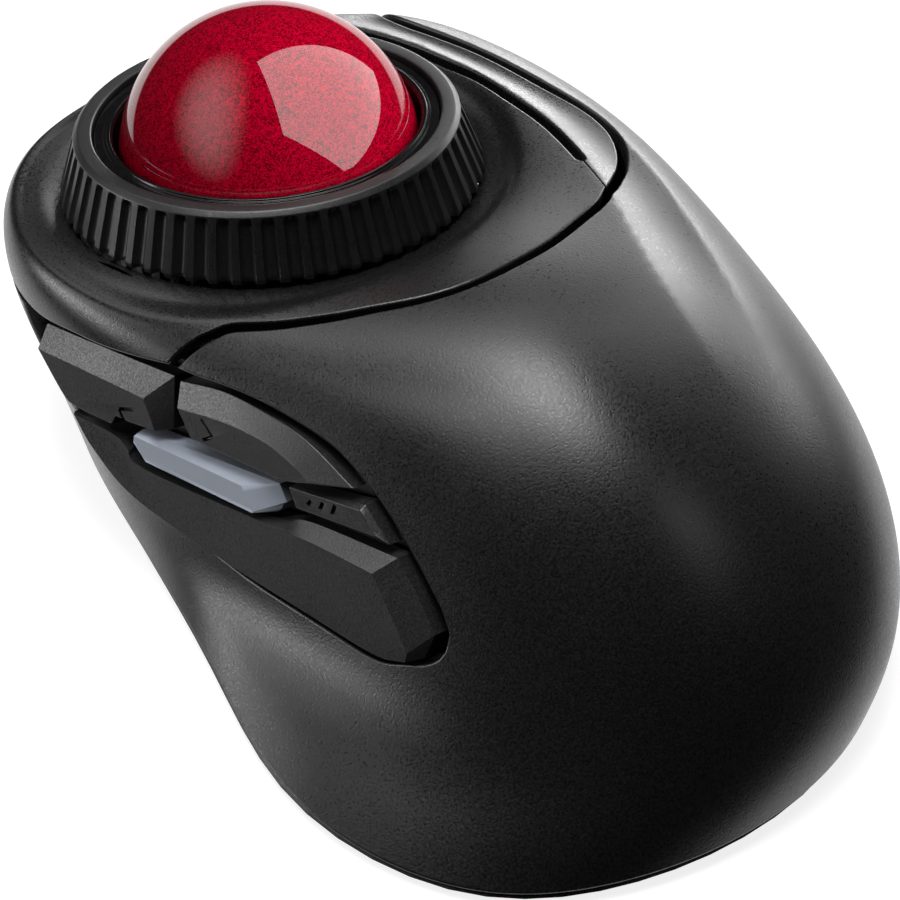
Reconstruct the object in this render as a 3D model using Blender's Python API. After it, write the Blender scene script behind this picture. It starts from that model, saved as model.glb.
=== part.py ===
"""Trackball mouse. Lengths below are in millimetres; the objects are made in metres.

Origin: bottom centre. +X to the user's right, +Y forward to the ball, +Z up.
"""

import math

import bmesh
import bpy
import numpy as np
from mathutils import Vector
from mathutils.geometry import delaunay_2d_cdt

MM = 0.001
GAP = 0.3

# Moves the working axes so that the origin is under the middle of the whole mouse.
SHIFT = np.array([-1.42, -0.745, 0.0])

# Ball, and the tilted axis that the scroll ring, the cup and the ball share.
BALL_RADIUS = 20.0
BALL_CENTRE = np.array([-2.0, 36.5, 37.0])
RING_AXIS = np.array([0.053, 0.174, 0.983])
RING_AXIS = RING_AXIS / np.linalg.norm(RING_AXIS)
RING_SIDE = np.cross([0.0, 1.0, 0.0], RING_AXIS)
RING_SIDE = RING_SIDE / np.linalg.norm(RING_SIDE)
RING_FRONT = np.cross(RING_AXIS, RING_SIDE)

RING_BORE = 23.1
RING_OUTER = 28.2
RING_TOP = 5.4
RING_SHOULDER = -2.8
RING_BOTTOM = -3.5
RING_SKIRT = 26.4
RIB_COUNT = 57
RIB_DEPTH = 0.75

CUP_INNER = 20.4
CUP_OUTER = 22.5
CUP_RIM = 4.9
CUP_COLLAR = 22.8
BEARING_RADIUS = 1.25
BEARING_LATITUDE = math.radians(-38)

SHELL_THICK = 1.8
SEAM = 0.62
SOCKET_RADIUS = 27.5
SOCKET_LEVEL = -3.0
DISH_DEPTH = 1.3
# Finger groove behind the right button: start and heading of its crisp edge, depth and width.

# Outer form: sections through the ball's axis, by heading (degrees, 90 is forward).
# Each runs from the base edge, up the wall and over the top, to the ring.
SECTIONS = [
    (92, [(0, 69.5, 1.6), (0, 71, 9), (0, 71.5, 17), (0, 71, 24), (-0.5, 70.8, 28.8),
          (0, 69.2, 29.8), (0, 68, 29.6), (-1, 66.8, 28.2)]),
    (66, [(21, 69.5, 1.6), (22.5, 71, 9), (23, 71.5, 17), (22.5, 71.5, 24), (21.2, 69.9, 29),
          (19.8, 67.9, 30.6), (18.5, 66.6, 30.4), (15.5, 65, 29.2)]),
    (42, [(37, 62.5, 1.6), (39, 64, 9), (39.5, 64.5, 17), (39.2, 63.7, 23), (37.4, 61.7, 29),
          (33.3, 59.1, 31.4), (29, 56.3, 32.2), (23.5, 53.5, 32.4)]),
    (16, [(45, 44, 1.6), (47, 44.5, 9), (47.7, 44.4, 17), (46.6, 44.4, 25), (42.5, 43.8, 31.2),
          (37.5, 42.4, 33.6), (32.6, 41.4, 34.2), (28, 41.5, 34)]),
    (-10, [(47, 19, 1.6), (49, 19, 9), (50.2, 19, 17), (48.8, 19, 26), (45.3, 18.5, 32.8),
           (38.8, 18.5, 36.8), (32.6, 21, 37.2), (27.5, 26, 36.4)]),
    (-38, [(46.5, -12, 1.6), (48.5, -12, 9), (48.5, -12, 17), (45, -10.8, 26), (39.1, -8.4, 34.4),
           (31.5, -5.5, 40.2), (24, 1, 40.8), (21.5, 12, 39)]),
    (-60, [(39.8, -41.9, 1.6), (42.4, -42.7, 9), (41.6, -41.5, 17), (37.7, -38.7, 27),
           (30.2, -32.4, 37.5), (20, -20, 44), (13, -6, 43.7), (13, 6, 40.4)]),
    (-76, [(22.8, -63.9, 1.6), (25.2, -65.4, 8), (25, -63.1, 17), (21.1, -55.1, 28), (15.5, -43, 39),
           (9.5, -25, 45.8), (6.5, -9, 45.2), (6, 4, 41.1)]),
    (-92, [(0, -71.2, 1.6), (0, -71, 8), (0, -68.5, 17), (-1, -61, 28), (-1, -47, 39.8),
           (-1.5, -28, 46.8), (-2, -11, 45.9), (-2, 3, 41.6)]),
    (-108, [(-23.3, -68, 1.6), (-22.6, -66.5, 7), (-19.8, -61.5, 14), (-16.5, -53, 26),
            (-13, -41, 37.7), (-10, -25, 45.2), (-8, -9.5, 45.1), (-8, 4, 41.5)]),
    (-124, [(-40.9, -57.3, 1.6), (-36.8, -52.7, 6), (-30.5, -46.7, 12), (-25.5, -39, 24),
            (-21, -30, 35.5), (-17, -19, 42.7), (-14, -6, 43.6), (-13.5, 6, 41)]),
    (-140, [(-49.3, -32, 1.6), (-42.9, -31, 5.5), (-34.5, -28, 9.5), (-29.5, -24, 22),
            (-26.5, -19, 33), (-23, -12, 40), (-20, -2, 41.6), (-19, 10, 40)]),
    (-156, [(-42.4, -8.1, 1.6), (-39.6, -8, 5.5), (-35.4, -8, 10), (-33, -6.5, 22),
            (-31, -3, 32.5), (-28, 1.5, 38.3), (-25, 8, 39.7), (-23.5, 16, 39)]),
    (-174, [(-38.1, 17.8, 1.6), (-38, 17.9, 7), (-37.3, 18, 13), (-37.5, 18, 23),
            (-37.5, 18.5, 32), (-35, 20, 36.8), (-32, 23, 38), (-29, 27, 38)]),
    (164, [(-33.4, 42.5, 1.6), (-35.6, 42.9, 9), (-37.9, 43.3, 16), (-40.7, 43.4, 24),
           (-41.4, 43, 31), (-39, 42.5, 35), (-35.5, 42, 36), (-32.2, 41.5, 34.8)]),
    (128, [(-19.5, 62.5, 1.6), (-22, 64, 9), (-24.5, 65, 16), (-26.1, 66.1, 23),
           (-27, 66.5, 29.4), (-25.5, 65, 32), (-23.3, 62.9, 32.2), (-20.8, 60.4, 30.4)]),
]

# Seams on the outer form: (section number, steps out from the ring).
REAR_SEAM = [(12.62, 3.66), (12.56, 3.38), (12.46, 3.03), (12.3, 2.62), (11.97, 2.14),
             (11.07, 1.73), (10.0, 1.65), (8.9, 1.7), (7.8, 1.77), (6.5, 1.9), (5.6, 2.06),
             (4.98, 2.4)]
RIGHT_SEAM = [(4.98, 2.4), (4.74, 2.64), (4.6, 2.82), (4.38, 3.08), (4.2, 3.22), (4.06, 3.24),
              (3.9, 3.18), (3.62, 3.0), (3.4, 2.92), (3.16, 2.88), (2.94, 2.84), (2.7, 2.8),
              (2.44, 2.82), (2.22, 2.94), (2.0, 3.3), (1.82, 4.0), (1.75, 5.0)]
SLOT = [(4.98, 2.4), (4.55, 2.17), (4.09, 1.99), (3.69, 1.82), (3.27, 1.77), (2.86, 1.69),
        (2.3, 1.75), (1.7, 2.0), (1.25, 2.6), (1.0, 3.4), (0.95, 5.0)]
POCKET_TOP = [(12.62, 3.66), (12.44, 3.64), (12.26, 3.58), (12.02, 3.55), (11.78, 3.565),
              (11.52, 3.625), (11.24, 3.73), (11.02, 3.9), (10.84, 4.08), (10.64, 4.34),
              (10.5, 4.54), (10.37, 4.75), (10.26, 4.93), (10.2, 5.1)]
POCKET_FLOOR = [(10.2, 5.1), (10.24, 5.25), (10.35, 5.37), (10.54, 5.46), (10.8, 5.57),
                (11.24, 5.61), (11.62, 5.69), (12.02, 5.83), (12.36, 5.95), (12.72, 6.14),
                (12.96, 6.24), (13.18, 6.29), (13.5, 6.2), (13.92, 6.05)]
DECK_EDGE = [(12.62, 3.66), (12.92, 3.89), (13.15, 4.06), (13.4, 4.22), (13.68, 4.48),
             (13.92, 4.62), (14.4, 4.85), (15, 5.0), (16, 5.0), (16.95, 5.0)]

# The finger groove in plan: a crisp crease on its left, a softer crest on its right.
CREASE_SPOTS = [(16.8, -32.5), (17.7, -27), (19.3, -20), (22.5, -11.3), (25.2, -3.6),
                (27.7, 1.9), (30.2, 9.9), (32, 19.8), (32.7, 28.2), (32.5, 36), (31.5, 42.9),
                (29.7, 51.2), (26.8, 59.1), (24, 64.5)]
CREST_SPOTS = [(25.0, -34), (28.7, -23.8), (30.5, -18.1), (32.6, -11), (34.8, -4.2), (37, 3.8),
               (38.1, 9.2), (38.7, 15), (38.8, 21.1), (38.3, 27.8), (36.8, 37.9), (35.3, 46.7),
               (33.6, 54.7), (32.6, 62)]
GROOVE_SLOPE = 0.105

# Thumb keys, on a plane that leans with the side wall: p runs forward, q runs up.
THUMB_CENTRE = np.array([-30.2, -14.9, 23.4])
THUMB_NORMAL = np.array([-0.949, -0.142, 0.281])
THUMB_NORMAL = THUMB_NORMAL / np.linalg.norm(THUMB_NORMAL)
THUMB_P = np.cross(THUMB_NORMAL, [0.0, 0.0, 1.0])
THUMB_P = THUMB_P / np.linalg.norm(THUMB_P) * np.sign(THUMB_P[1])
THUMB_Q = np.cross(THUMB_P, THUMB_NORMAL)
THUMB_Q = THUMB_Q * np.sign(THUMB_Q[2])

FORWARD_FACE = [(51.5, -1.4), (43.5, 0.2), (31.4, 2.5), (28.4, -0.7), (32.6, -1.9), (35.6, -2.6),
                (36.1, -4.1), (42.8, -5.4), (45.6, -5.0)]
FORWARD_FOOT = [(51.8, 2.0), (43.4, 3.9), (27.9, 7.6), (26.4, 0.4), (32.6, -2.2), (35.5, -2.8),
                (36.2, -4.5), (42.8, -5.8), (46.8, -5.6)]
BACK_FACE = [(25.4, 4.6), (16.9, 7.3), (10.3, 8.5), (5.4, 8.3), (1.7, 7.5), (5.5, 5.5), (9.7, 4.4),
             (22.1, 1.9)]
BACK_FOOT = [(26.9, 7.5), (19, 10.3), (11.2, 11.4), (4.2, 11.5), (-4.2, 9.8), (5.2, 5.9),
             (9.7, 4.2), (22.1, 1.6)]
MIDDLE_FACE = [(31.4, -3.1), (12.0, 1.0), (9.2, -1.3), (9.3, -1.5), (28.6, -5.4), (31.3, -4.0)]
MIDDLE_FOOT = [(31.9, -3.0), (7.4, 3.6), (5.6, 1.9), (9.0, -1.3), (28.9, -5.8), (32.3, -3.9)]
DPI_FACE = [(5.0, 4.9), (-6.7, 8.5), (-9.9, 6.7), (3.1, 2.9)]
DPI_FOOT = [(5.6, 4.3), (-6.6, 9.0), (-11.6, 6.1), (3.6, 2.2)]
LEFT_FACE = [(43.0, -6.7), (35.2, -5.3), (32.6, -5.9), (29.0, -6.9), (9.2, -2.4), (-0.9, 0.1),
             (-10.9, 1.9), (-14.9, -1.4), (-18.9, -4.9), (-18.9, -6.3), (-14, -8.3), (-2.5, -9.6),
             (13.1, -11.1), (29.8, -11.8), (38.5, -9.4)]
LEFT_FOOT = [(44.2, -7.3), (35.4, -5.4), (32.8, -5.6), (29.4, -6.6), (7.5, -1.4), (1.2, 1.6),
             (-13.2, 5.2), (-17.6, 2.2), (-21.4, -1.0), (-20.7, -5.0), (-14, -8.5), (-2.5, -9.7),
             (13.1, -11.2), (29.8, -11.6), (38.5, -10.6)]
POCKET_PLATE = [(50, 2.6), (28, 8.2), (24, 9.6), (17, 11.2), (10, 11.9), (3, 11.6), (-3, 9.9),
                (-8, 7.2), (-15, 3.2), (-20, -0.2), (-21.6, -2), (-20.6, -4.8), (-12.4, -7.9),
                (-2.4, -9.2), (13.6, -11.1), (30, -11.6), (44, -8.4), (49, -3)]

# Underside and inside.
FOOT_HEIGHT = 0.8
CASE_TOP = 2.9
BAY_LEFT = -5.4
BAY_RIGHT = 16.4
BAY_REAR = -54.8
BAY_FRONT = -1.5
BAY_ROOF = 20.6
WALL = 1.2
BATTERY_RADIUS = 7.25
BATTERY_X = 8.6
BATTERY_Z = 13.0
BOARD_LOW = 8.0
BOARD_THICK = 1.6
FOOT_SPOTS = [(-33, -42), (26, -46), (36, 30), (-24, 44)]
SCREW_SPOTS = [(-18, -50), (31, -25), (38, 8)]
RIGHT_HINGE = (30.0, 4.0, 38.0)


def clear_scene():
    for obj in list(bpy.data.objects):
        bpy.data.objects.remove(obj, do_unlink=True)


def material(name, colour, roughness, metallic=0.0):
    mat = bpy.data.materials.new(name)
    mat.use_nodes = True
    shader = mat.node_tree.nodes["Principled BSDF"]
    shader.inputs["Base Color"].default_value = (*colour, 1.0)
    shader.inputs["Roughness"].default_value = roughness
    shader.inputs["Metallic"].default_value = metallic
    return mat


def add_object(name, points, faces, mat, origin=(0, 0, 0)):
    """A mesh object in metres, with its origin at the given point."""
    origin = np.array(origin, float)
    mesh = bpy.data.meshes.new(name)
    local = (np.asarray(points, float) - origin) * MM
    mesh.from_pydata([tuple(p) for p in local], [], [tuple(int(i) for i in f) for f in faces])
    bm = bmesh.new()
    bm.from_mesh(mesh)
    bmesh.ops.remove_doubles(bm, verts=bm.verts, dist=1e-6)
    bmesh.ops.recalc_face_normals(bm, faces=bm.faces)
    bm.to_mesh(mesh)
    bm.free()
    mesh.materials.append(mat)
    obj = bpy.data.objects.new(name, mesh)
    obj.location = Vector((origin + SHIFT) * MM)
    bpy.context.scene.collection.objects.link(obj)
    return obj


def shade_round(obj, degrees=35):
    mesh = obj.data
    mesh.shade_smooth()
    mesh.set_sharp_from_angle(angle=math.radians(degrees))


def cut(obj, cutter, operation="DIFFERENCE"):
    """Adds an exact Boolean and hides the other solid from the model."""
    mod = obj.modifiers.new(cutter.name, "BOOLEAN")
    mod.operation = operation
    mod.solver = "EXACT"
    mod.object = cutter
    cutter.hide_render = True
    cutter.display_type = "WIRE"


def box(name, low, high, mat, origin=(0, 0, 0)):
    x0, y0, z0 = low
    x1, y1, z1 = high
    points = [(x, y, z) for z in (z0, z1) for x, y in ((x0, y0), (x1, y0), (x1, y1), (x0, y1))]
    faces = [(3, 2, 1, 0), (4, 5, 6, 7), (0, 1, 5, 4), (1, 2, 6, 5), (2, 3, 7, 6), (3, 0, 4, 7)]
    return add_object(name, points, faces, mat, origin)


def prism(name, outline, place, low, high, mat, origin=(0, 0, 0)):
    """Extrudes a flat outline between two levels; place(p, q, level) gives the point."""
    return loft(name, [(outline, low), (outline, high)], place, mat, origin)


def loft(name, levels, place, mat, origin=(0, 0, 0)):
    """Joins outlines with equal point counts, level by level, and caps both ends."""
    count = len(levels[0][0])
    points = [place(p, q, level) for outline, level in levels for p, q in outline]
    faces = [tuple(reversed(range(count)))]
    for ring in range(len(levels) - 1):
        base = ring * count
        for i in range(count):
            j = (i + 1) % count
            faces.append((base + i, base + j, base + count + j, base + count + i))
    last = (len(levels) - 1) * count
    faces.append(tuple(range(last, last + count)))
    return add_object(name, points, faces, mat, origin)


def upright(p, q, level):
    return np.array([p, q, level])


def on_thumb(p, q, level):
    return THUMB_CENTRE + THUMB_P * p + THUMB_Q * q + THUMB_NORMAL * level


def circle(radius, count, centre=(0, 0)):
    angles = [2 * math.pi * i / count for i in range(count)]
    return [(centre[0] + radius * math.cos(a), centre[1] + radius * math.sin(a)) for a in angles]


def turned(profile, count, centre, axis, side, ribs=None):
    """Revolves a closed (radius, height) profile. ribs(i, j) gives a change of radius."""
    front = np.cross(axis, side)
    points = []
    for i in range(count):
        a = 2 * math.pi * i / count
        outward = side * math.cos(a) + front * math.sin(a)
        for j, (radius, height) in enumerate(profile):
            r = radius + (ribs(i, j) if ribs else 0.0)
            points.append(np.array(centre) + outward * r + axis * height)
    size = len(profile)
    faces = []
    for i in range(count):
        k = (i + 1) % count
        for j in range(size):
            m = (j + 1) % size
            faces.append((i * size + j, k * size + j, k * size + m, i * size + m))
    return points, faces


def lathe(name, profile, count, mat, centre=None, axis=None, side=None, ribs=None, origin=None):
    centre = BALL_CENTRE if centre is None else np.array(centre, float)
    axis = RING_AXIS if axis is None else np.array(axis, float)
    side = RING_SIDE if side is None else np.array(side, float)
    points, faces = turned(profile, count, centre, axis, side, ribs)
    obj = add_object(name, points, faces, mat, centre if origin is None else origin)
    shade_round(obj)
    return obj


def cylinder(name, radius, low, high, spot, count, mat):
    outline = circle(radius, count, spot)
    obj = prism(name, outline, upright, low, high, mat, (*spot, low))
    shade_round(obj)
    return obj


# ---- outer form -------------------------------------------------------------------------

def control_net():
    """Control points of the outer form: one row per section, ring edge first."""
    rows = []
    for index, (heading, section) in enumerate(SECTIONS):
        a = math.radians(heading)
        before = a - math.radians(SECTIONS[index - 1][0])
        after = math.radians(SECTIONS[(index + 1) % len(SECTIONS)][0]) - a
        outward = RING_SIDE * math.cos(a) + RING_FRONT * math.sin(a)
        reach = SOCKET_RADIUS * 6 / (4 + math.cos(before) + math.cos(after))
        socket = BALL_CENTRE + outward * reach + RING_AXIS * SOCKET_LEVEL
        rows.append([tuple(socket)] + section[::-1])
    net = np.array(rows, float)
    before = 2 * net[:, :1] - net[:, 1:2]
    after = 2 * net[:, -1:] - net[:, -2:-1]
    return np.concatenate([before, net, after], axis=1)


def line_of(spots):
    """A smooth line through plan points, giving x for any y."""
    x, y = np.array(spots, float).T
    return np.polynomial.Polynomial.fit(y, x, 6)


NET = control_net()
AROUND = NET.shape[0]
OUT = NET.shape[1] - 3
CREASE_LINE = line_of(CREASE_SPOTS)
CREST_LINE = line_of(CREST_SPOTS)


def weights(t):
    return np.stack([(1 - t) ** 3, 3 * t**3 - 6 * t**2 + 4, -3 * t**3 + 3 * t**2 + 3 * t + 1,
                     t**3], axis=-1) / 6


def ease(x):
    x = np.clip(x, 0, 1)
    return x * x * (3 - 2 * x)


def form(u, v):
    """Point of the outer form at section u, v steps out from the ring."""
    u = np.asarray(u, float) % AROUND
    v = np.clip(np.asarray(v, float), 0, OUT - 1e-9)
    i = np.floor(u).astype(int)
    j = np.floor(v).astype(int)
    wu = weights(u - i)
    wv = weights(v - j)
    point = 0
    for a in range(4):
        for b in range(4):
            w = wu[..., a] * wv[..., b]
            point = point + w[..., None] * NET[(i + a - 1) % AROUND, j + b]
    rel = point - BALL_CENTRE
    height = rel @ RING_AXIS
    radius = np.linalg.norm(rel - height[..., None] * RING_AXIS, axis=-1)
    right = (rel @ RING_SIDE) / radius
    dish = DISH_DEPTH * ease((35 - 1.7 * right - radius) / (4.0 - 1.2 * right)) * ease((3.4 - v) / 0.8)
    point = point - dish[..., None] * RING_AXIS
    point[..., 2] -= groove(point)
    return point


def groove(point):
    """How far the finger groove drops the form, between its crease and its crest."""
    y = np.clip(point[..., 1], -45, 66)
    low = CREASE_LINE(y)
    wide = CREST_LINE(y) - low
    across = (point[..., 0] - low) / wide
    hollow = np.clip(4 * across * (1 - across), -1, 1)
    hollow = 0.5 * (hollow + np.sqrt(hollow * hollow + 0.03)) * ease((hollow + 1) / 0.8)
    fade = ease((y + 42) / 36) * ease((66 - y) / 9)
    return GROOVE_SLOPE * wide * fade * hollow


def slopes(u, v):
    h = 0.001
    low = np.clip(v - h, 0, OUT)
    high = np.clip(v + h, 0, OUT)
    along = (form(u + h, v) - form(u - h, v)) / (2 * h)
    out = (form(u, high) - form(u, low)) / (high - low)[..., None]
    return along, out


def outward_normal(u, v):
    along, out = slopes(u, v)
    n = np.cross(along, out)
    return n / np.linalg.norm(n, axis=-1, keepdims=True)


def smooth_run(points, step):
    """A curve through the points on the form, as points about one step apart."""
    pts = np.array(points, float)
    ext = np.vstack([2 * pts[0] - pts[1], pts, 2 * pts[-1] - pts[-2]])
    fine = []
    for i in range(1, len(ext) - 2):
        t = np.linspace(0, 1, 24, endpoint=False)[:, None]
        a, b, c, d = ext[i - 1], ext[i], ext[i + 1], ext[i + 2]
        fine.append(0.5 * (2 * b + (c - a) * t + (2 * a - 5 * b + 4 * c - d) * t**2
                           + (3 * b - a - 3 * c + d) * t**3))
    fine = np.vstack(fine + [pts[-1:]])
    place = form(fine[:, 0], fine[:, 1])
    run = np.r_[0, np.cumsum(np.linalg.norm(np.diff(place, axis=0), axis=1))]
    count = max(2, int(round(run[-1] / step)) + 1)
    spots = np.linspace(0, run[-1], count)
    return np.stack([np.interp(spots, run, fine[:, k]) for k in (0, 1)], axis=1)


def loop_of(runs, step):
    return np.vstack([smooth_run(run, step)[:-1] for run in runs])


def flat(uv):
    """Spreads section and step over a disc, so that a run right round closes."""
    a = 2 * math.pi * uv[:, 0] / AROUND
    return np.stack([(uv[:, 1] + 3) * np.cos(a), (uv[:, 1] + 3) * np.sin(a)], axis=1)


def inset(uv, distance):
    """Moves a closed run sideways over the form; positive goes to its right seen from outside."""
    place = form(uv[:, 0], uv[:, 1])
    ahead = np.roll(place, -1, axis=0) - place
    behind = place - np.roll(place, 1, axis=0)
    ahead = ahead / np.linalg.norm(ahead, axis=1, keepdims=True)
    behind = behind / np.linalg.norm(behind, axis=1, keepdims=True)
    tangent = ahead + behind
    tangent = tangent / np.linalg.norm(tangent, axis=1, keepdims=True)
    turn = np.clip((tangent * ahead).sum(1), 0.6, 1)
    normal = outward_normal(uv[:, 0], uv[:, 1])
    shift = np.cross(tangent, normal) * (distance / turn)[:, None]
    along, out = slopes(uv[:, 0], uv[:, 1])
    moved = []
    for k in range(len(uv)):
        frame = np.stack([along[k], out[k]], axis=1)
        moved.append(uv[k] + np.linalg.lstsq(frame, shift[k], rcond=None)[0])
    moved = np.array(moved)
    moved[:, 1] = np.clip(moved[:, 1], 0, OUT)
    return moved


def inside(points, loop):
    x, y = points[:, 0], points[:, 1]
    hit = np.zeros(len(points), bool)
    for (x0, y0), (x1, y1) in zip(loop, np.roll(loop, -1, axis=0)):
        crosses = (y0 > y) != (y1 > y)
        hit ^= crosses & (x < (x1 - x0) * (y - y0) / (y1 - y0 + 1e-15) + x0)
    return hit


def fill_points(step):
    """Points spread evenly over the whole form."""
    rows = []
    v = 0.15
    while v < OUT:
        u = 0.0
        while u < AROUND - 0.05:
            along, out = slopes(np.array([u]), np.array([v]))
            rows.append((u, v))
            u += step / np.linalg.norm(along)
        v += 0.85 * step / 8.5
    return np.array(rows)


def panel(name, loops, step, thick, mat, origin=(0, 0, 0)):
    """A shell piece on the outer form, inside the first loop and outside the others."""
    edge = np.vstack(loops)
    place = form(edge[:, 0], edge[:, 1])
    spare = fill_points(step)
    disc = flat(spare)
    keep = inside(disc, flat(loops[0]))
    for hole in loops[1:]:
        keep &= ~inside(disc, flat(hole))
    spare = spare[keep]
    away = form(spare[:, 0], spare[:, 1])[:, None] - place[None]
    spare = spare[np.linalg.norm(away, axis=2).min(axis=1) > 0.55 * step]
    uv = np.vstack([edge, spare])
    sides = []
    start = 0
    for loop in loops:
        count = len(loop)
        sides += [(start + i, start + (i + 1) % count) for i in range(count)]
        start += count
    disc = flat(uv)
    result = delaunay_2d_cdt([Vector(p) for p in disc], sides, [], 0, 1e-7)
    triangles = np.array([list(f) for f in result[2]])
    centre = disc[triangles].mean(axis=1)
    keep = inside(centre, flat(loops[0]))
    for hole in loops[1:]:
        keep &= ~inside(centre, flat(hole))
    triangles = triangles[keep]
    normal = outward_normal(uv[:, 0], uv[:, 1])
    outer = form(uv[:, 0], uv[:, 1])
    level = normal.copy()
    level[:, 2] *= ease((OUT - uv[:, 1]) / 1.6)
    level = level / np.linalg.norm(level, axis=1, keepdims=True)
    inner = outer - level * thick
    inner[:, 2] = np.maximum(inner[:, 2], CASE_TOP + GAP)
    size = len(uv)
    faces = [tuple(t) for t in triangles]
    faces += [tuple(size + i for i in reversed(t)) for t in triangles]
    faces += [(b, a, a + size, b + size) for a, b in sides]
    obj = add_object(name, np.vstack([outer, inner]), faces, mat, origin)
    shade_round(obj, 40)
    return obj


def shell_loops():
    base = [(u, OUT) for u in np.linspace(1.75, 13.92, 48)]
    runs = [base, [(13.92, 8), (13.92, 7), (13.92, 6.05)], POCKET_FLOOR[::-1], POCKET_TOP[::-1],
            REAR_SEAM, RIGHT_SEAM, [(1.75, 5), (1.75, 6.5), (1.75, 8)]]
    return [inset(loop_of(runs, 3.0), SEAM)]


def deck_loops():
    slot = [(u + 16, v) for u, v in SLOT]
    seam = [(u + 16, v) for u, v in REAR_SEAM]
    runs = [DECK_EDGE, slot[::-1], seam[::-1]]
    outline = inset(loop_of(runs, 3.0), SEAM)
    socket = np.array([(16 - u, 0.0) for u in np.linspace(0, 16, 72, endpoint=False)])
    return [outline, socket]


def button_loops():
    front = [(0.95, 5.0), (1.35, 5.05), (1.75, 5.0)]
    runs = [SLOT, front, RIGHT_SEAM[::-1]]
    return [inset(loop_of(runs, 2.5), SEAM)]


def skirt_loops():
    runs = [[(u, OUT) for u in np.linspace(13.92, 17.75, 20)], [(17.75, 8), (17.75, 6.5), (17.75, 5)],
            [(17.75, 5.0), (17.35, 5.05), (16.95, 5.0)], DECK_EDGE[5:][::-1],
            [(13.92, 4.62), (13.92, 6.0), (13.92, 7), (13.92, 8)]]
    return [inset(loop_of(runs, 3.0), SEAM)]


def post(shell, spot, radius, top, bore, mat):
    """Joins a screw post, hanging from the shell, and bores it."""
    name = shell.name + "_post_" + str(len(shell.modifiers))
    cut(shell, cylinder(name, radius, CASE_TOP + GAP, top, spot, 16, mat), "UNION")
    hole = cylinder(name + "_bore", bore, CASE_TOP - 1, CASE_TOP + 7.5, spot, 16, mat)
    cut(shell, hole)


def top_over(spot):
    """Height of the outer form over a point of the plan."""
    best = None
    for u in np.linspace(0, 16, 161):
        line = form(np.full(60, u), np.linspace(0, 7.9, 60))
        away = np.hypot(line[:, 0] - spot[0], line[:, 1] - spot[1])
        k = int(away.argmin())
        if best is None or away[k] < best[0]:
            best = (away[k], line[k, 2])
    return best[1]


# ---- outer skins ------------------------------------------------------------------------

def make_palm_shell(mat):
    obj = panel("palm_shell", shell_loops(), 5.0, SHELL_THICK, mat)
    for x, y in SCREW_SPOTS:
        near = [top_over((x + 3 * math.cos(a), y + 3 * math.sin(a))) for a in (0, 1.6, 3.1, 4.7)]
        post(obj, (x, y), 3.0, min(near) - 0.5, 1.35, mat)


def make_ring_deck(mat):
    panel("ring_deck", deck_loops(), 5.0, SHELL_THICK, mat)


def make_right_button(mat):
    panel("right_button", button_loops(), 4.0, SHELL_THICK, mat, RIGHT_HINGE)


def make_front_skirt(mat):
    panel("front_skirt", skirt_loops(), 5.5, SHELL_THICK, mat)


# ---- ball and ring ----------------------------------------------------------------------

def make_trackball(mat):
    mesh = bpy.data.meshes.new("trackball")
    bm = bmesh.new()
    bmesh.ops.create_uvsphere(bm, u_segments=40, v_segments=20, radius=BALL_RADIUS * MM)
    bm.to_mesh(mesh)
    bm.free()
    mesh.materials.append(mat)
    obj = bpy.data.objects.new("trackball", mesh)
    obj.location = Vector((BALL_CENTRE + SHIFT) * MM)
    bpy.context.scene.collection.objects.link(obj)
    shade_round(obj, 60)


def bearing_spot(index, radius):
    a = math.radians(30 + 120 * index)
    outward = RING_SIDE * math.cos(a) + RING_FRONT * math.sin(a)
    ray = outward * math.cos(BEARING_LATITUDE) + RING_AXIS * math.sin(BEARING_LATITUDE)
    return BALL_CENTRE + ray * radius, ray


def make_ball_cup(mat):
    profile = []
    for angle in range(18, 91, 8):
        a = math.radians(angle)
        profile.append((CUP_INNER * math.sin(a), -CUP_INNER * math.cos(a)))
    profile += [(CUP_INNER, CUP_RIM - 0.4), (CUP_INNER + 0.4, CUP_RIM), (CUP_COLLAR - 0.3, CUP_RIM),
                (CUP_COLLAR, CUP_RIM - 0.3), (CUP_COLLAR, 0.3)]
    for angle in range(90, 17, -8):
        a = math.radians(angle)
        profile.append((CUP_OUTER * math.sin(a), -CUP_OUTER * math.cos(a)))
    cup = lathe("ball_cup", profile, 60, mat)
    for index in range(3):
        spot, ray = bearing_spot(index, BALL_RADIUS - 1)
        side = np.cross(ray, [0.0, 0.0, 1.0])
        side = side / np.linalg.norm(side)
        front = np.cross(ray, side)
        outline = circle(BEARING_RADIUS + 0.04, 20)
        hole = prism("bearing_hole_" + str(index), outline,
                     lambda p, q, h, o=spot, s=side, f=front, r=ray: o + s * p + f * q + r * h,
                     0, 6, mat)
        cut(cup, hole)


def make_bearings(mat):
    for index in range(3):
        spot, _ = bearing_spot(index, BALL_RADIUS + BEARING_RADIUS + 0.03)
        mesh = bpy.data.meshes.new("bearing_" + str(index + 1))
        bm = bmesh.new()
        bmesh.ops.create_icosphere(bm, subdivisions=3, radius=BEARING_RADIUS * MM)
        bm.to_mesh(mesh)
        bm.free()
        mesh.materials.append(mat)
        obj = bpy.data.objects.new("bearing_" + str(index + 1), mesh)
        obj.location = Vector((spot + SHIFT) * MM)
        bpy.context.scene.collection.objects.link(obj)
        shade_round(obj, 60)


def make_scroll_ring(mat):
    profile = [(RING_BORE, RING_TOP), (25.0, RING_TOP), (25.6, RING_TOP - 0.5),
               (RING_OUTER, RING_SHOULDER), (RING_OUTER, RING_BOTTOM),
               (RING_SKIRT, RING_BOTTOM), (RING_SKIRT, -8.0), (24.2, -8.0), (24.2, -4.6),
               (RING_BORE, -4.6)]

    def ribs(i, j):
        return -RIB_DEPTH if j in (2, 3, 4) and i % 4 in (2, 3) else 0.0

    lathe("scroll_ring", profile, RIB_COUNT * 4, mat, ribs=ribs)


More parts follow.
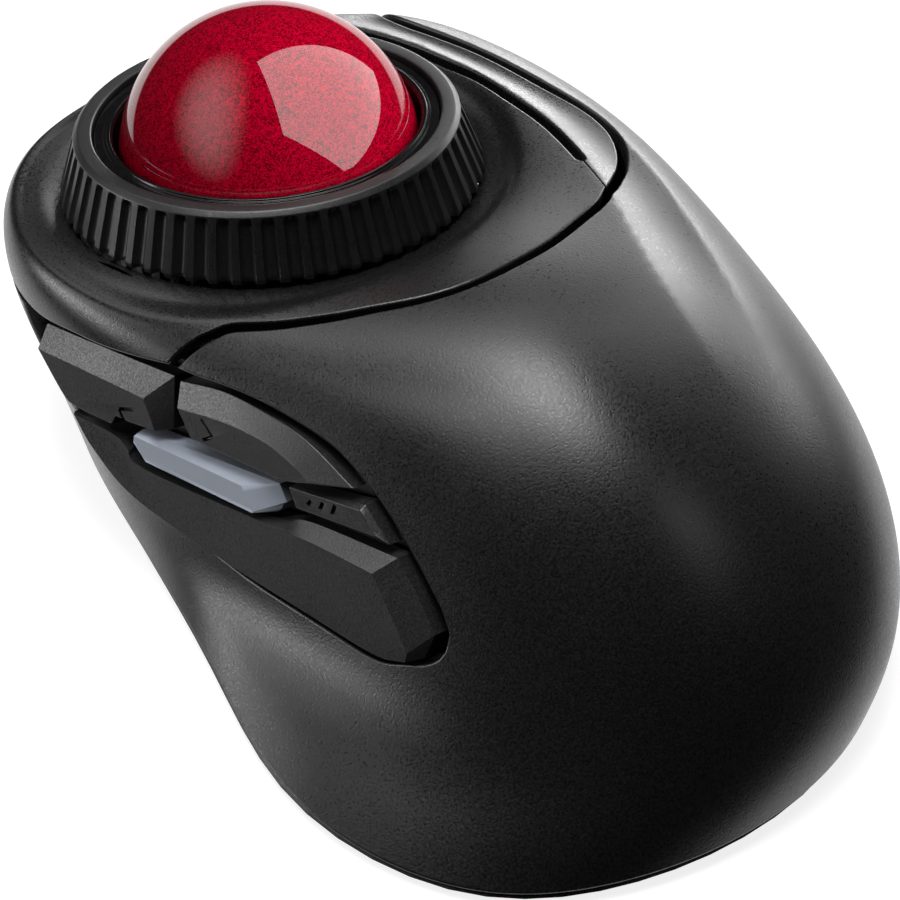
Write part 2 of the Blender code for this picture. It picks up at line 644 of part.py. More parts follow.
def make_magnet_ring(mat):
    lathe("magnet_ring", [(24.4, -8.03), (26.2, -8.03), (26.2, -9.5), (24.4, -9.5)], 60, mat)


# ---- thumb keys -------------------------------------------------------------------------

def middle_of(outline):
    pts = np.array(outline)
    return pts.mean(axis=0)


def shrunk(outline, centre, factor):
    return [(centre[0] + factor * (p - centre[0]), centre[1] + factor * (q - centre[1]))
            for p, q in outline]


def key(name, face, foot, lift, mat, plate, room=0.62):
    """A thumb key: bevelled cap, waist and stem, with its window in the pocket plate."""
    centre = middle_of(foot)
    stem = shrunk(foot, centre, 0.4)
    levels = [(stem, -5.9), (stem, -2.2), (foot, -2.2), (foot, 0.2), (face, lift)]
    origin = on_thumb(*centre, 0.0)
    obj = loft(name, levels, on_thumb, mat, origin)
    window = prism(name + "_window", shrunk(foot, centre, room), on_thumb, -7, -1, mat)
    cut(plate, window)
    return obj


def make_thumb_keys(dark, grey):
    plate = prism("thumb_bezel", POCKET_PLATE, on_thumb, -4.8, -3.4, dark)
    key("forward_button", FORWARD_FACE, FORWARD_FOOT, 1.5, dark, plate)
    key("back_button", BACK_FACE, BACK_FOOT, 1.5, dark, plate)
    key("middle_button", MIDDLE_FACE, MIDDLE_FOOT, 1.9, grey, plate)
    key("dpi_button", DPI_FACE, DPI_FOOT, 1.2, dark, plate)
    key("left_button", LEFT_FACE, LEFT_FOOT, 1.5, dark, plate, 0.8)


def make_thumb_switches(mat):
    spots = {"forward": FORWARD_FOOT, "back": BACK_FOOT, "middle": MIDDLE_FOOT,
             "dpi": DPI_FOOT, "left": LEFT_FOOT}
    for name, foot in spots.items():
        p, q = middle_of(foot)
        outline = [(p - 2.4, q - 1.4), (p + 2.4, q - 1.4), (p + 2.4, q + 1.4), (p - 2.4, q + 1.4)]
        prism("switch_" + name, outline, on_thumb, -9.4, -6.9, mat, on_thumb(p, q, -9.4))


def make_thumb_board(mat):
    outline = [(-14, -9), (46, -9), (46, 1.5), (30, 9), (-8, 9)]
    prism("thumb_board", outline, on_thumb, -10.8, -9.45, mat, on_thumb(0, 0, -10.8))


# ---- underside --------------------------------------------------------------------------

def base_outline(inward):
    u = np.linspace(0, 16, 72, endpoint=False)
    ring = form(u, np.full(72, OUT))[:, :2]
    run = np.roll(ring, -1, axis=0) - np.roll(ring, 1, axis=0)
    run = run / np.linalg.norm(run, axis=1, keepdims=True)
    side = np.stack([run[:, 1], -run[:, 0]], axis=1)
    return [tuple(p) for p in ring + side * inward]


def make_bottom_case(mat):
    levels = [(base_outline(0.9), FOOT_HEIGHT), (base_outline(0.5), 1.2),
              (base_outline(2.3), CASE_TOP)]
    case = loft("bottom_case", levels, upright, mat)
    bay = box("bay_hole", (BAY_LEFT, BAY_REAR, 0), (BAY_RIGHT, BAY_FRONT, 5), mat)
    recess = box("door_recess", (BAY_LEFT - 1.5, BAY_REAR - 4.5, 0),
                 (BAY_RIGHT + 1.5, BAY_FRONT + 1.5, 2.0), mat)
    slot = box("switch_slot", (-24.5, -22, 0), (-15.5, -18, 5), mat)
    for cutter in (bay, recess, slot):
        cut(case, cutter)
    for index, spot in enumerate(SCREW_SPOTS):
        cut(case, cylinder("screw_hole_" + str(index), 1.5, 0, 5, spot, 20, mat))
        cut(case, cylinder("screw_sink_" + str(index), 3.0, 0, 1.9, spot, 24, mat))


def make_battery_bay(mat):
    tray = box("battery_tray", (BAY_LEFT - WALL, BAY_REAR - WALL, CASE_TOP + GAP),
               (BAY_RIGHT + WALL, BAY_FRONT + WALL, BAY_ROOF + WALL), mat)
    inner = box("tray_space", (BAY_LEFT, BAY_REAR, 0), (BAY_RIGHT, BAY_FRONT, BAY_ROOF), mat)
    cut(tray, inner)


def make_battery_door(mat):
    door = box("battery_door", (BAY_LEFT - 1.2, BAY_REAR - 1.2, 0.85),
               (BAY_RIGHT + 1.2, BAY_FRONT + 1.2, 1.75), mat,
               ((BAY_LEFT + BAY_RIGHT) / 2, BAY_REAR, 0.85))
    for row in range(4):
        y = BAY_REAR + 4 + 2 * row
        cut(door, box("door_grip_" + str(row), (2, y, 0.5), (10, y + 0.8, 1.2), mat))


def battery_point(x, z, y):
    return np.array([BATTERY_X + x, y, BATTERY_Z + z])


def make_battery(mat):
    rings = [(6.8, -51.9), (BATTERY_RADIUS, -51.6), (BATTERY_RADIUS, -3.9), (5.2, -3.5), (2.7, -3.5),
             (2.7, -2.7)]
    count = 40
    points = [battery_point(0, 0, -51.9)]
    for r, y in rings:
        points += [battery_point(*p, y) for p in circle(r, count)]
    points.append(battery_point(0, 0, -2.7))
    faces = []
    for i in range(count):
        j = (i + 1) % count
        faces.append((0, 1 + i, 1 + j))
        for k in range(len(rings) - 1):
            a = 1 + k * count
            faces.append((a + i, a + count + i, a + count + j, a + j))
        a = 1 + (len(rings) - 1) * count
        faces.append((a + i, len(points) - 1, a + j))
    obj = add_object("battery", points, faces, mat, (BATTERY_X, -27, BATTERY_Z))
    shade_round(obj)


def make_battery_contacts(mat):
    box("battery_contact", (BATTERY_X - 5, -2.3, 8), (BATTERY_X + 5, -1.8, 18), mat,
        (BATTERY_X, -2, 13))
    curve = bpy.data.curves.new("battery_spring", "CURVE")
    curve.dimensions = "3D"
    curve.bevel_depth = 0.3 * MM
    curve.bevel_resolution = 1
    curve.use_fill_caps = True
    line = curve.splines.new("POLY")
    turns, steps = 3.5, 56
    line.points.add(steps)
    for k in range(steps + 1):
        t = k / steps
        a = 2 * math.pi * turns * t
        r = 5.0 - 2.4 * t
        y = -54.3 + 2.0 * t
        point = (battery_point(r * math.cos(a), r * math.sin(a), y) + SHIFT) * MM
        line.points[k].co = (*point, 1.0)
    obj = bpy.data.objects.new("battery_spring", curve)
    curve.materials.append(mat)
    bpy.context.scene.collection.objects.link(obj)


def make_receiver(mat):
    box("usb_receiver", (-4.9, -40, 3.6), (-0.7, -21, 15.8), mat, (-2.8, -30, 3.6))


def make_power_switch(mat):
    knob = box("power_switch", (-24.1, -21.6, 1.3), (-19.7, -18.4, 3.4), mat, (-22, -20, 3.2))
    plate = box("switch_plate", (-27.5, -23.5, 3.2), (-16.5, -16.5, 4.4), mat)
    cut(knob, plate, "UNION")
    for x in (-23.3, -22.1, -20.9):
        cut(knob, box("knob_groove" + str(int(-10 * x)), (x, -22, 1.0), (x + 0.4, -18, 1.7), mat))


def make_feet(mat):
    for index, spot in enumerate(FOOT_SPOTS):
        cylinder("foot_" + str(index + 1), 6.5, 0, FOOT_HEIGHT - 0.02, spot, 32, mat)


def make_screws(mat):
    for index, (x, y) in enumerate(SCREW_SPOTS):
        profile = [(2.6, 1.0), (2.6, 1.86), (1.2, 1.86), (1.2, 8.0)]
        count = 24
        points = [(x, y, 1.0)]
        for r, z in profile:
            points += [(px, py, z) for px, py in circle(r, count, (x, y))]
        points.append((x, y, 8.0))
        faces = []
        for i in range(count):
            j = (i + 1) % count
            faces.append((0, 1 + j, 1 + i))
            for k in range(len(profile) - 1):
                a = 1 + k * count
                faces.append((a + i, a + j, a + count + j, a + count + i))
            a = 1 + (len(profile) - 1) * count
            faces.append((a + i, a + j, len(points) - 1))
        screw = add_object("screw_" + str(index + 1), points, faces, mat, (x, y, 1.0))
        shade_round(screw)
        cut(screw, box("drive_a" + str(index), (x - 1.4, y - 0.3, 0), (x + 1.4, y + 0.3, 1.5), mat))
        cut(screw, box("drive_b" + str(index), (x - 0.3, y - 1.4, 0), (x + 0.3, y + 1.4, 1.5), mat))


# ---- electronics ------------------------------------------------------------------------

def make_main_board(mat):
    outline = [(-19, 6), (20, 6), (27, 12), (27, 52), (18, 60), (-14, 60), (-19, 52)]
    prism("main_board", outline, upright, BOARD_LOW, BOARD_LOW + BOARD_THICK, mat, (0, 30, 8))


def make_ball_sensor(mat):
    top = BOARD_LOW + BOARD_THICK + 0.05
    box("ball_sensor", (-7.6, 28.3, top), (1.4, 37.3, 13.4), mat, (-3.1, 32.8, top))


def make_scroll_sensor(mat):
    spot = BALL_CENTRE - RING_FRONT * 25.3 - RING_AXIS * 11.6

    def place(p, q, level):
        return spot + RING_SIDE * p + RING_FRONT * q + RING_AXIS * level

    outline = [(-4, -2.4), (4, -2.4), (4, 2.4), (-4, 2.4)]
    prism("scroll_sensor", outline, place, 0, 1.6, mat, spot)


def make_right_switch(mat):
    box("switch_right", (30.5, 45, 9.7), (36.5, 55, 27.6), mat, (33.5, 50, 9.7))


def build():
    clear_scene()
    shell = material("shell black", (0.012, 0.012, 0.013), 0.5)
    deck = material("deck black", (0.011, 0.011, 0.012), 0.42)
    keys = material("key black", (0.02, 0.02, 0.021), 0.5)
    grey = material("key grey", (0.27, 0.29, 0.33), 0.45)
    gloss = material("cup black", (0.006, 0.006, 0.007), 0.12)
    red = material("ball red", (0.42, 0.005, 0.02), 0.08)
    case = material("case black", (0.015, 0.015, 0.016), 0.55)
    rubber = material("rubber", (0.02, 0.02, 0.02), 0.8)
    steel = material("steel", (0.6, 0.6, 0.6), 0.3, 1.0)
    ceramic = material("ceramic", (0.75, 0.75, 0.72), 0.2)
    board = material("board green", (0.02, 0.12, 0.05), 0.5)
    chip = material("chip black", (0.02, 0.02, 0.02), 0.4)
    wrap = material("battery wrap", (0.05, 0.08, 0.2), 0.35)

    make_bottom_case(case)
    make_palm_shell(shell)
    make_ring_deck(deck)
    make_right_button(deck)
    make_front_skirt(shell)
    make_trackball(red)
    make_ball_cup(gloss)
    make_bearings(ceramic)
    make_scroll_ring(deck)
    make_magnet_ring(chip)
    make_thumb_keys(keys, grey)
    make_thumb_switches(chip)
    make_thumb_board(board)
    make_battery_bay(case)
    make_battery_door(case)
    make_battery(wrap)
    make_battery_contacts(steel)
    make_receiver(case)
    make_power_switch(keys)
    make_feet(rubber)
    make_screws(steel)
    make_main_board(board)
    make_ball_sensor(chip)
    make_scroll_sensor(chip)
    make_right_switch(chip)


build()
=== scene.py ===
"""Looks of the trackball mouse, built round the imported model. Lengths in millimetres unless said."""

import math

import bmesh
import bpy
import numpy as np
from mathutils import Matrix, Vector
from mathutils.geometry import delaunay_2d_cdt


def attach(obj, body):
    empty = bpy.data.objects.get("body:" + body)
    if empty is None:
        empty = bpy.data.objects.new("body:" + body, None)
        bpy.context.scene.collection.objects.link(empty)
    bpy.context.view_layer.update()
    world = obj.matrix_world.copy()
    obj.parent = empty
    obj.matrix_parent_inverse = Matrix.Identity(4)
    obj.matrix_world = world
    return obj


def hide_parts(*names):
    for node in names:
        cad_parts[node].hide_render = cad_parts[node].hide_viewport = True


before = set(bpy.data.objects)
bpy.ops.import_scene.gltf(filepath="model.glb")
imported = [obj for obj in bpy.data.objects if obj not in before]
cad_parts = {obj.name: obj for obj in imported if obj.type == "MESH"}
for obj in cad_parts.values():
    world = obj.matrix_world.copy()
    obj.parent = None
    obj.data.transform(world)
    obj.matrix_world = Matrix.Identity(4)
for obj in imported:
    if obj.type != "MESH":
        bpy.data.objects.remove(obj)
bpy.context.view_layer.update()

MM = 0.001
SHIFT = np.array([-1.42, -0.745, 0.0])

# Ball, and the tilted axis that the scroll ring and the cup share with it.
BALL_RADIUS = 20.0
BALL_CENTRE = np.array([-2.0, 36.5, 37.0])
RING_AXIS = np.array([0.053, 0.174, 0.983])
RING_AXIS = RING_AXIS / np.linalg.norm(RING_AXIS)
RING_SIDE = np.cross([0.0, 1.0, 0.0], RING_AXIS)
RING_SIDE = RING_SIDE / np.linalg.norm(RING_SIDE)
RING_FRONT = np.cross(RING_AXIS, RING_SIDE)

RING_BORE = 23.1
RING_OUTER = 28.2
RING_TOP = 5.4
RING_SHOULDER = -2.8
RING_BOTTOM = -3.5
RING_SKIRT = 26.4
RIB_COUNT = 57
RIB_DEPTH = 0.8
FLUTE_HALF = 0.94
FLUTE_TOP = 3.75
CUP_INNER = 20.4
CUP_OUTER = 22.5
CUP_RIM = 4.9
CUP_COLLAR = 22.8

SHELL_THICK = 1.8
SEAM = 0.62
EDGE_ROUND = 0.38
CREASE_LENGTH = 8.6
CREASE_GAP = 0.06
CREASE_ROUND = 0.14
SKIN_STEP = 1.0
# Panel mesh: step for slopes, samples and pitch of fill rows, clear band and crossing limits.
SLOPE_STEP = 0.001
ROW_SAMPLES = 641
ROW_PITCH = 0.95 / 11.0
EDGE_CLEAR = 0.55
KEPT_SHARE = 0.93
LONGEST_LOOP = 6
SOCKET_RADIUS = 27.5
SOCKET_LEVEL = -3.0
DISH_DEPTH = 1.3
CASE_TOP = 2.9
GAP = 0.3

SECTIONS = [
    (92, [(0, 69.5, 1.6), (0, 71, 9), (0, 71.5, 17), (0, 71, 24), (-0.5, 70.8, 28.8),
          (0, 69.2, 29.8), (0, 68, 29.6), (-1, 66.8, 28.2)]),
    (66, [(21, 69.5, 1.6), (22.5, 71, 9), (23, 71.5, 17), (22.5, 71.5, 24), (21.2, 69.9, 29),
          (19.8, 67.9, 30.6), (18.5, 66.6, 30.4), (15.5, 65, 29.2)]),
    (42, [(37, 62.5, 1.6), (39, 64, 9), (39.5, 64.5, 17), (39.2, 63.7, 23), (37.4, 61.7, 29),
          (33.3, 59.1, 31.4), (29, 56.3, 32.2), (23.5, 53.5, 32.4)]),
    (16, [(45, 44, 1.6), (47, 44.5, 9), (47.7, 44.4, 17), (46.6, 44.4, 25), (42.5, 43.8, 31.2),
          (37.5, 42.4, 33.6), (32.6, 41.4, 34.2), (28, 41.5, 34)]),
    (-10, [(47, 19, 1.6), (49, 19, 9), (50.2, 19, 17), (48.8, 19, 26), (45.3, 18.5, 32.8),
           (38.8, 18.5, 36.8), (32.6, 21, 37.2), (27.5, 26, 36.4)]),
    (-38, [(46.5, -12, 1.6), (48.5, -12, 9), (48.5, -12, 17), (45, -10.8, 26), (39.1, -8.4, 34.4),
           (31.5, -5.5, 40.2), (24, 1, 40.8), (21.5, 12, 39)]),
    (-60, [(39.8, -41.9, 1.6), (42.4, -42.7, 9), (41.6, -41.5, 17), (37.7, -38.7, 27),
           (30.2, -32.4, 37.5), (20, -20, 44), (13, -6, 43.7), (13, 6, 40.4)]),
    (-76, [(22.8, -63.9, 1.6), (25.2, -65.4, 8), (25, -63.1, 17), (21.1, -55.1, 28), (15.5, -43, 39),
           (9.5, -25, 45.8), (6.5, -9, 45.2), (6, 4, 41.1)]),
    (-92, [(0, -71.2, 1.6), (0, -71, 8), (0, -68.5, 17), (-1, -61, 28), (-1, -47, 39.8),
           (-1.5, -28, 46.8), (-2, -11, 45.9), (-2, 3, 41.6)]),
    (-108, [(-23.3, -68, 1.6), (-22.6, -66.5, 7), (-19.8, -61.5, 14), (-16.5, -53, 26),
            (-13, -41, 37.7), (-10, -25, 45.2), (-8, -9.5, 45.1), (-8, 4, 41.5)]),
    (-124, [(-40.9, -57.3, 1.6), (-36.8, -52.7, 6), (-30.5, -46.7, 12), (-25.5, -39, 24),
            (-21, -30, 35.5), (-17, -19, 42.7), (-14, -6, 43.6), (-13.5, 6, 41)]),
    (-140, [(-49.3, -32, 1.6), (-42.9, -31, 5.5), (-34.5, -28, 9.5), (-29.5, -24, 22),
            (-26.5, -19, 33), (-23, -12, 40), (-20, -2, 41.6), (-19, 10, 40)]),
    (-156, [(-42.4, -8.1, 1.6), (-39.6, -8, 5.5), (-35.4, -8, 10), (-33, -6.5, 22),
            (-31, -3, 32.5), (-28, 1.5, 38.3), (-25, 8, 39.7), (-23.5, 16, 39)]),
    (-174, [(-38.1, 17.8, 1.6), (-38, 17.9, 7), (-37.3, 18, 13), (-37.5, 18, 23),
            (-37.5, 18.5, 32), (-35, 20, 36.8), (-32, 23, 38), (-29, 27, 38)]),
    (164, [(-33.4, 42.5, 1.6), (-35.6, 42.9, 9), (-37.9, 43.3, 16), (-40.7, 43.4, 24),
           (-41.4, 43, 31), (-39, 42.5, 35), (-35.5, 42, 36), (-32.2, 41.5, 34.8)]),
    (128, [(-19.5, 62.5, 1.6), (-22, 64, 9), (-24.5, 65, 16), (-26.1, 66.1, 23),
           (-27, 66.5, 29.4), (-25.5, 65, 32), (-23.3, 62.9, 32.2), (-20.8, 60.4, 30.4)]),
]

# Seams on the outer form: (section number, steps out from the ring).
REAR_SEAM = [(12.62, 3.66), (12.56, 3.38), (12.46, 3.03), (12.3, 2.62), (11.97, 2.14),
             (11.07, 1.73), (10.0, 1.65), (8.9, 1.7), (7.8, 1.77), (6.5, 1.9), (5.6, 2.06),
             (4.98, 2.4)]
RIGHT_SEAM = [(4.98, 2.4), (4.74, 2.64), (4.6, 2.82), (4.38, 3.08), (4.2, 3.22), (4.06, 3.24),
              (3.9, 3.18), (3.62, 3.0), (3.4, 2.92), (3.16, 2.88), (2.94, 2.84), (2.7, 2.8),
              (2.44, 2.82), (2.22, 2.94), (2.0, 3.3), (1.82, 4.0), (1.75, 5.0)]
SLOT = [(4.98, 2.4), (4.55, 2.17), (4.09, 1.99), (3.69, 1.82), (3.27, 1.77), (2.86, 1.69),
        (2.3, 1.75), (1.7, 2.0), (1.25, 2.6), (1.0, 3.4), (0.95, 5.0)]
POCKET_TOP = [(12.62, 3.66), (12.44, 3.64), (12.26, 3.58), (12.02, 3.55), (11.78, 3.565),
              (11.52, 3.625), (11.24, 3.73), (11.02, 3.9), (10.84, 4.08), (10.64, 4.34),
              (10.5, 4.54), (10.37, 4.75), (10.26, 4.93), (10.2, 5.1)]
POCKET_FLOOR = [(10.2, 5.1), (10.24, 5.25), (10.35, 5.37), (10.54, 5.46), (10.8, 5.57),
                (11.24, 5.61), (11.62, 5.69), (12.02, 5.83), (12.36, 5.95), (12.72, 6.14),
                (12.96, 6.24), (13.18, 6.29), (13.5, 6.2), (13.92, 6.05)]
DECK_EDGE = [(12.62, 3.66), (12.92, 3.89), (13.15, 4.06), (13.4, 4.22), (13.68, 4.48),
             (13.92, 4.62), (14.4, 4.85), (15, 5.0), (16, 5.0), (16.95, 5.0)]

# The finger groove in plan: a crisp crease on its left, a softer crest on its right.
CREASE_SPOTS = [(16.8, -32.5), (17.7, -27), (19.3, -20), (22.5, -11.3), (25.2, -3.6),
                (27.7, 1.9), (30.2, 9.9), (32, 19.8), (32.7, 28.2), (32.5, 36), (31.5, 42.9),
                (29.7, 51.2), (26.8, 59.1), (24, 64.5)]
CREST_SPOTS = [(25.0, -34), (28.7, -23.8), (30.5, -18.1), (32.6, -11), (34.8, -4.2), (37, 3.8),
               (38.1, 9.2), (38.7, 15), (38.8, 21.1), (38.3, 27.8), (36.8, 37.9), (35.3, 46.7),
               (33.6, 54.7), (32.6, 62)]
GROOVE_SLOPE = 0.105

# Thumb keys, on a plane that leans with the side wall: p runs forward, q runs up.
THUMB_CENTRE = np.array([-30.2, -14.9, 23.4])
THUMB_NORMAL = np.array([-0.949, -0.142, 0.281])
THUMB_NORMAL = THUMB_NORMAL / np.linalg.norm(THUMB_NORMAL)
THUMB_P = np.cross(THUMB_NORMAL, [0.0, 0.0, 1.0])
THUMB_P = THUMB_P / np.linalg.norm(THUMB_P) * np.sign(THUMB_P[1])
THUMB_Q = np.cross(THUMB_P, THUMB_NORMAL)
THUMB_Q = THUMB_Q * np.sign(THUMB_Q[2])

FORWARD_FACE = [(51.5, -1.4), (43.5, 0.2), (31.4, 2.5), (28.4, -0.7), (32.6, -1.9), (35.6, -2.6),
                (36.1, -4.1), (42.8, -5.4), (45.6, -5.0)]
FORWARD_FOOT = [(51.8, 2.0), (43.4, 3.9), (27.9, 7.6), (26.4, 0.4), (32.6, -2.2), (35.5, -2.8),
                (36.2, -4.5), (42.8, -5.8), (46.8, -5.6)]
BACK_FACE = [(25.4, 4.6), (16.9, 7.3), (10.3, 8.5), (5.4, 8.3), (1.7, 7.5), (5.5, 5.5), (9.7, 4.4),
             (22.1, 1.9)]
BACK_FOOT = [(26.9, 7.5), (19, 10.3), (11.2, 11.4), (4.2, 11.5), (-4.2, 9.8), (5.2, 5.9),
             (9.7, 4.2), (22.1, 1.6)]
MIDDLE_FACE = [(31.4, -3.1), (12.0, 1.0), (9.2, -1.3), (9.3, -1.5), (28.6, -5.4), (31.3, -4.0)]
MIDDLE_FOOT = [(31.9, -3.0), (7.4, 3.6), (5.6, 1.9), (9.0, -1.3), (28.9, -5.8), (32.3, -3.9)]
DPI_FACE = [(5.0, 4.9), (-6.7, 8.5), (-9.9, 6.7), (3.1, 2.9)]
DPI_FOOT = [(5.6, 4.3), (-6.6, 9.0), (-11.6, 6.1), (3.6, 2.2)]
LEFT_FACE = [(43.0, -6.7), (35.2, -5.3), (32.6, -5.9), (29.0, -6.9), (9.2, -2.4), (-0.9, 0.1),
             (-10.9, 1.9), (-14.9, -1.4), (-18.9, -4.9), (-18.9, -6.3), (-14, -8.3), (-2.5, -9.6),
             (13.1, -11.1), (29.8, -11.8), (38.5, -9.4)]
LEFT_FOOT = [(44.2, -7.3), (35.4, -5.4), (32.8, -5.6), (29.4, -6.6), (7.5, -1.4), (1.2, 1.6),
             (-13.2, 5.2), (-17.6, 2.2), (-21.4, -1.0), (-20.7, -5.0), (-14, -8.5), (-2.5, -9.7),
             (13.1, -11.2), (29.8, -11.6), (38.5, -10.6)]
KEY_CREASE = 11
MARK_DEPTH = 0.5


# ---- meshes -----------------------------------------------------------------------------

def solid(name, points, faces, mat, body, stands_for=(), normals=None, smooth=35):
    """A piece of the object from points in millimetres. normals holds one per face corner."""
    mesh = bpy.data.meshes.new(name)
    place = (np.asarray(points, float) + SHIFT) * MM
    mesh.from_pydata(place.tolist(), [], [tuple(int(i) for i in f) for f in faces])
    mesh.materials.append(mat)
    mesh.shade_smooth()
    if normals is not None:
        mesh.normals_split_custom_set(normals.tolist())
    elif smooth is not None:
        mesh.set_sharp_from_angle(angle=math.radians(smooth))
    obj = bpy.data.objects.new(name, mesh)
    bpy.context.scene.collection.objects.link(obj)
    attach(obj, body)
    if stands_for:
        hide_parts(*stands_for)
    return obj


def unit(v):
    """Vectors scaled to length 1."""
    return v / np.linalg.norm(v, axis=-1, keepdims=True)


def ease(x):
    """Smooth step from 0 to 1."""
    x = np.clip(x, 0, 1)
    return x * x * (3 - 2 * x)


# ---- outer form -------------------------------------------------------------------------

def control_net():
    """Control points of the outer form: one row per section, ring edge first."""
    rows = []
    for index, (heading, section) in enumerate(SECTIONS):
        a = math.radians(heading)
        before = a - math.radians(SECTIONS[index - 1][0])
        after = math.radians(SECTIONS[(index + 1) % len(SECTIONS)][0]) - a
        outward = RING_SIDE * math.cos(a) + RING_FRONT * math.sin(a)
        reach = SOCKET_RADIUS * 6 / (4 + math.cos(before) + math.cos(after))
        socket = BALL_CENTRE + outward * reach + RING_AXIS * SOCKET_LEVEL
        rows.append([tuple(socket)] + section[::-1])
    net = np.array(rows, float)
    before = 2 * net[:, :1] - net[:, 1:2]
    after = 2 * net[:, -1:] - net[:, -2:-1]
    return np.concatenate([before, net, after], axis=1)


def line_of(spots):
    """A smooth line through plan points, giving x for any y."""
    x, y = np.array(spots, float).T
    return np.polynomial.Polynomial.fit(y, x, 6)


NET = control_net()
AROUND = NET.shape[0]
OUT = NET.shape[1] - 3
CREASE_LINE = line_of(CREASE_SPOTS)
CREST_LINE = line_of(CREST_SPOTS)


def weights(t):
    return np.stack([(1 - t) ** 3, 3 * t**3 - 6 * t**2 + 4, -3 * t**3 + 3 * t**2 + 3 * t + 1,
                     t**3], axis=-1) / 6


def groove(point):
    """How far the finger groove drops the form, between its crease and its crest."""
    y = np.clip(point[..., 1], -45, 66)
    low = CREASE_LINE(y)
    wide = CREST_LINE(y) - low
    across = (point[..., 0] - low) / wide
    hollow = np.clip(4 * across * (1 - across), -1, 1)
    hollow = 0.5 * (hollow + np.sqrt(hollow * hollow + 0.03)) * ease((hollow + 1) / 0.8)
    fade = ease((y + 42) / 36) * ease((66 - y) / 9)
    return GROOVE_SLOPE * wide * fade * hollow


def form(u, v):
    """Point of the outer form at section u, v steps out from the ring."""
    u = np.asarray(u, float) % AROUND
    v = np.clip(np.asarray(v, float), 0, OUT - 1e-9)
    i = np.floor(u).astype(int)
    j = np.floor(v).astype(int)
    wu = weights(u - i)
    wv = weights(v - j)
    point = 0
    for a in range(4):
        for b in range(4):
            w = wu[..., a] * wv[..., b]
            point = point + w[..., None] * NET[(i + a - 1) % AROUND, j + b]
    rel = point - BALL_CENTRE
    height = rel @ RING_AXIS
    radius = np.linalg.norm(rel - height[..., None] * RING_AXIS, axis=-1)
    right = (rel @ RING_SIDE) / radius
    dish = DISH_DEPTH * ease((35 - 1.7 * right - radius) / (4.0 - 1.2 * right)) * ease((3.4 - v) / 0.8)
    point = point - dish[..., None] * RING_AXIS
    point[..., 2] -= groove(point)
    return point


def slopes(u, v):
    """How the form runs along its sections and out from the ring, at u and v."""
    h = SLOPE_STEP
    low = np.clip(v - h, 0, OUT)
    high = np.clip(v + h, 0, OUT)
    along = (form(u + h, v) - form(u - h, v)) / (2 * h)
    out = (form(u, high) - form(u, low)) / (high - low)[..., None]
    return along, out


def outward_normal(u, v):
    along, out = slopes(u, v)
    return unit(np.cross(along, out))


def smooth_run(points, step):
    """A curve through the points on the form, as points about one step apart."""
    pts = np.array(points, float)
    ext = np.vstack([2 * pts[0] - pts[1], pts, 2 * pts[-1] - pts[-2]])
    fine = []
    for i in range(1, len(ext) - 2):
        t = np.linspace(0, 1, 24, endpoint=False)[:, None]
        fine.append(between(*ext[i - 1:i + 3], t))
    fine = np.vstack(fine + [pts[-1:]])
    place = form(fine[:, 0], fine[:, 1])
    run = np.r_[0, np.cumsum(np.linalg.norm(np.diff(place, axis=0), axis=1))]
    count = max(2, int(round(run[-1] / step)) + 1)
    spots = np.linspace(0, run[-1], count)
    return np.stack([np.interp(spots, run, fine[:, k]) for k in (0, 1)], axis=1)


def between(a, b, c, d, t):
    """Smooth curve from b to c, with a and d as the points on either side."""
    return 0.5 * (2 * b + (c - a) * t + (2 * a - 5 * b + 4 * c - d) * t**2
                  + (3 * b - a - 3 * c + d) * t**3)


def loop_of(runs, step):
    return np.vstack([smooth_run(run, step)[:-1] for run in runs])


def flat(uv):
    """Spreads section and step over a disc, so that a run right round closes."""
    a = 2 * math.pi * uv[:, 0] / AROUND
    return np.stack([(uv[:, 1] + 3) * np.cos(a), (uv[:, 1] + 3) * np.sin(a)], axis=1)


def sideways(uv):
    """Unit directions over the form, to the right of a closed run, and the corner factor."""
    place = form(uv[:, 0], uv[:, 1])
    ahead = unit(np.roll(place, -1, axis=0) - place)
    behind = unit(place - np.roll(place, 1, axis=0))
    tangent = unit(ahead + behind)
    turn = np.clip((tangent * ahead).sum(1), 0.6, 1)
    return np.cross(tangent, outward_normal(uv[:, 0], uv[:, 1])), turn


def inset(uv, distance):
    """Moves a closed run sideways over the form; positive goes to its right seen from outside."""
    if np.max(distance) < 1e-6:
        return uv
    side, turn = sideways(uv)
    shift = side * (distance / turn)[:, None]
    along, out = slopes(uv[:, 0], uv[:, 1])
    aa = (along * along).sum(1)
    ao = (along * out).sum(1)
    oo = (out * out).sum(1)
    sa = (shift * along).sum(1)
    so = (shift * out).sum(1)
    size = aa * oo - ao * ao
    moved = uv + np.stack([(sa * oo - so * ao) / size, (so * aa - sa * ao) / size], axis=1)
    moved[:, 1] = np.clip(moved[:, 1], 0, OUT)
    return untangled(moved, uv, distance)


def untangled(moved, uv, distance):
    """Straightens a moved run where a tight corner has made it cross itself."""
    place = form(moved[:, 0], moved[:, 1])
    start = form(uv[:, 0], uv[:, 1])
    run = np.roll(start, -1, axis=0) - start
    rel = place[:, None] - start[None]
    along = np.clip((rel * run).sum(2) / np.maximum((run * run).sum(1), 1e-12), 0, 1)
    away = np.linalg.norm(rel - along[..., None] * run, axis=2).min(axis=1)
    clipped = (moved[:, 1] <= 0) | (moved[:, 1] >= OUT)
    good = np.flatnonzero((away > KEPT_SHARE * distance) | clipped)
    spots = np.arange(len(uv))
    moved = np.stack([np.interp(spots, good, moved[good, k], period=len(uv)) for k in (0, 1)], axis=1)
    return unlooped(moved)


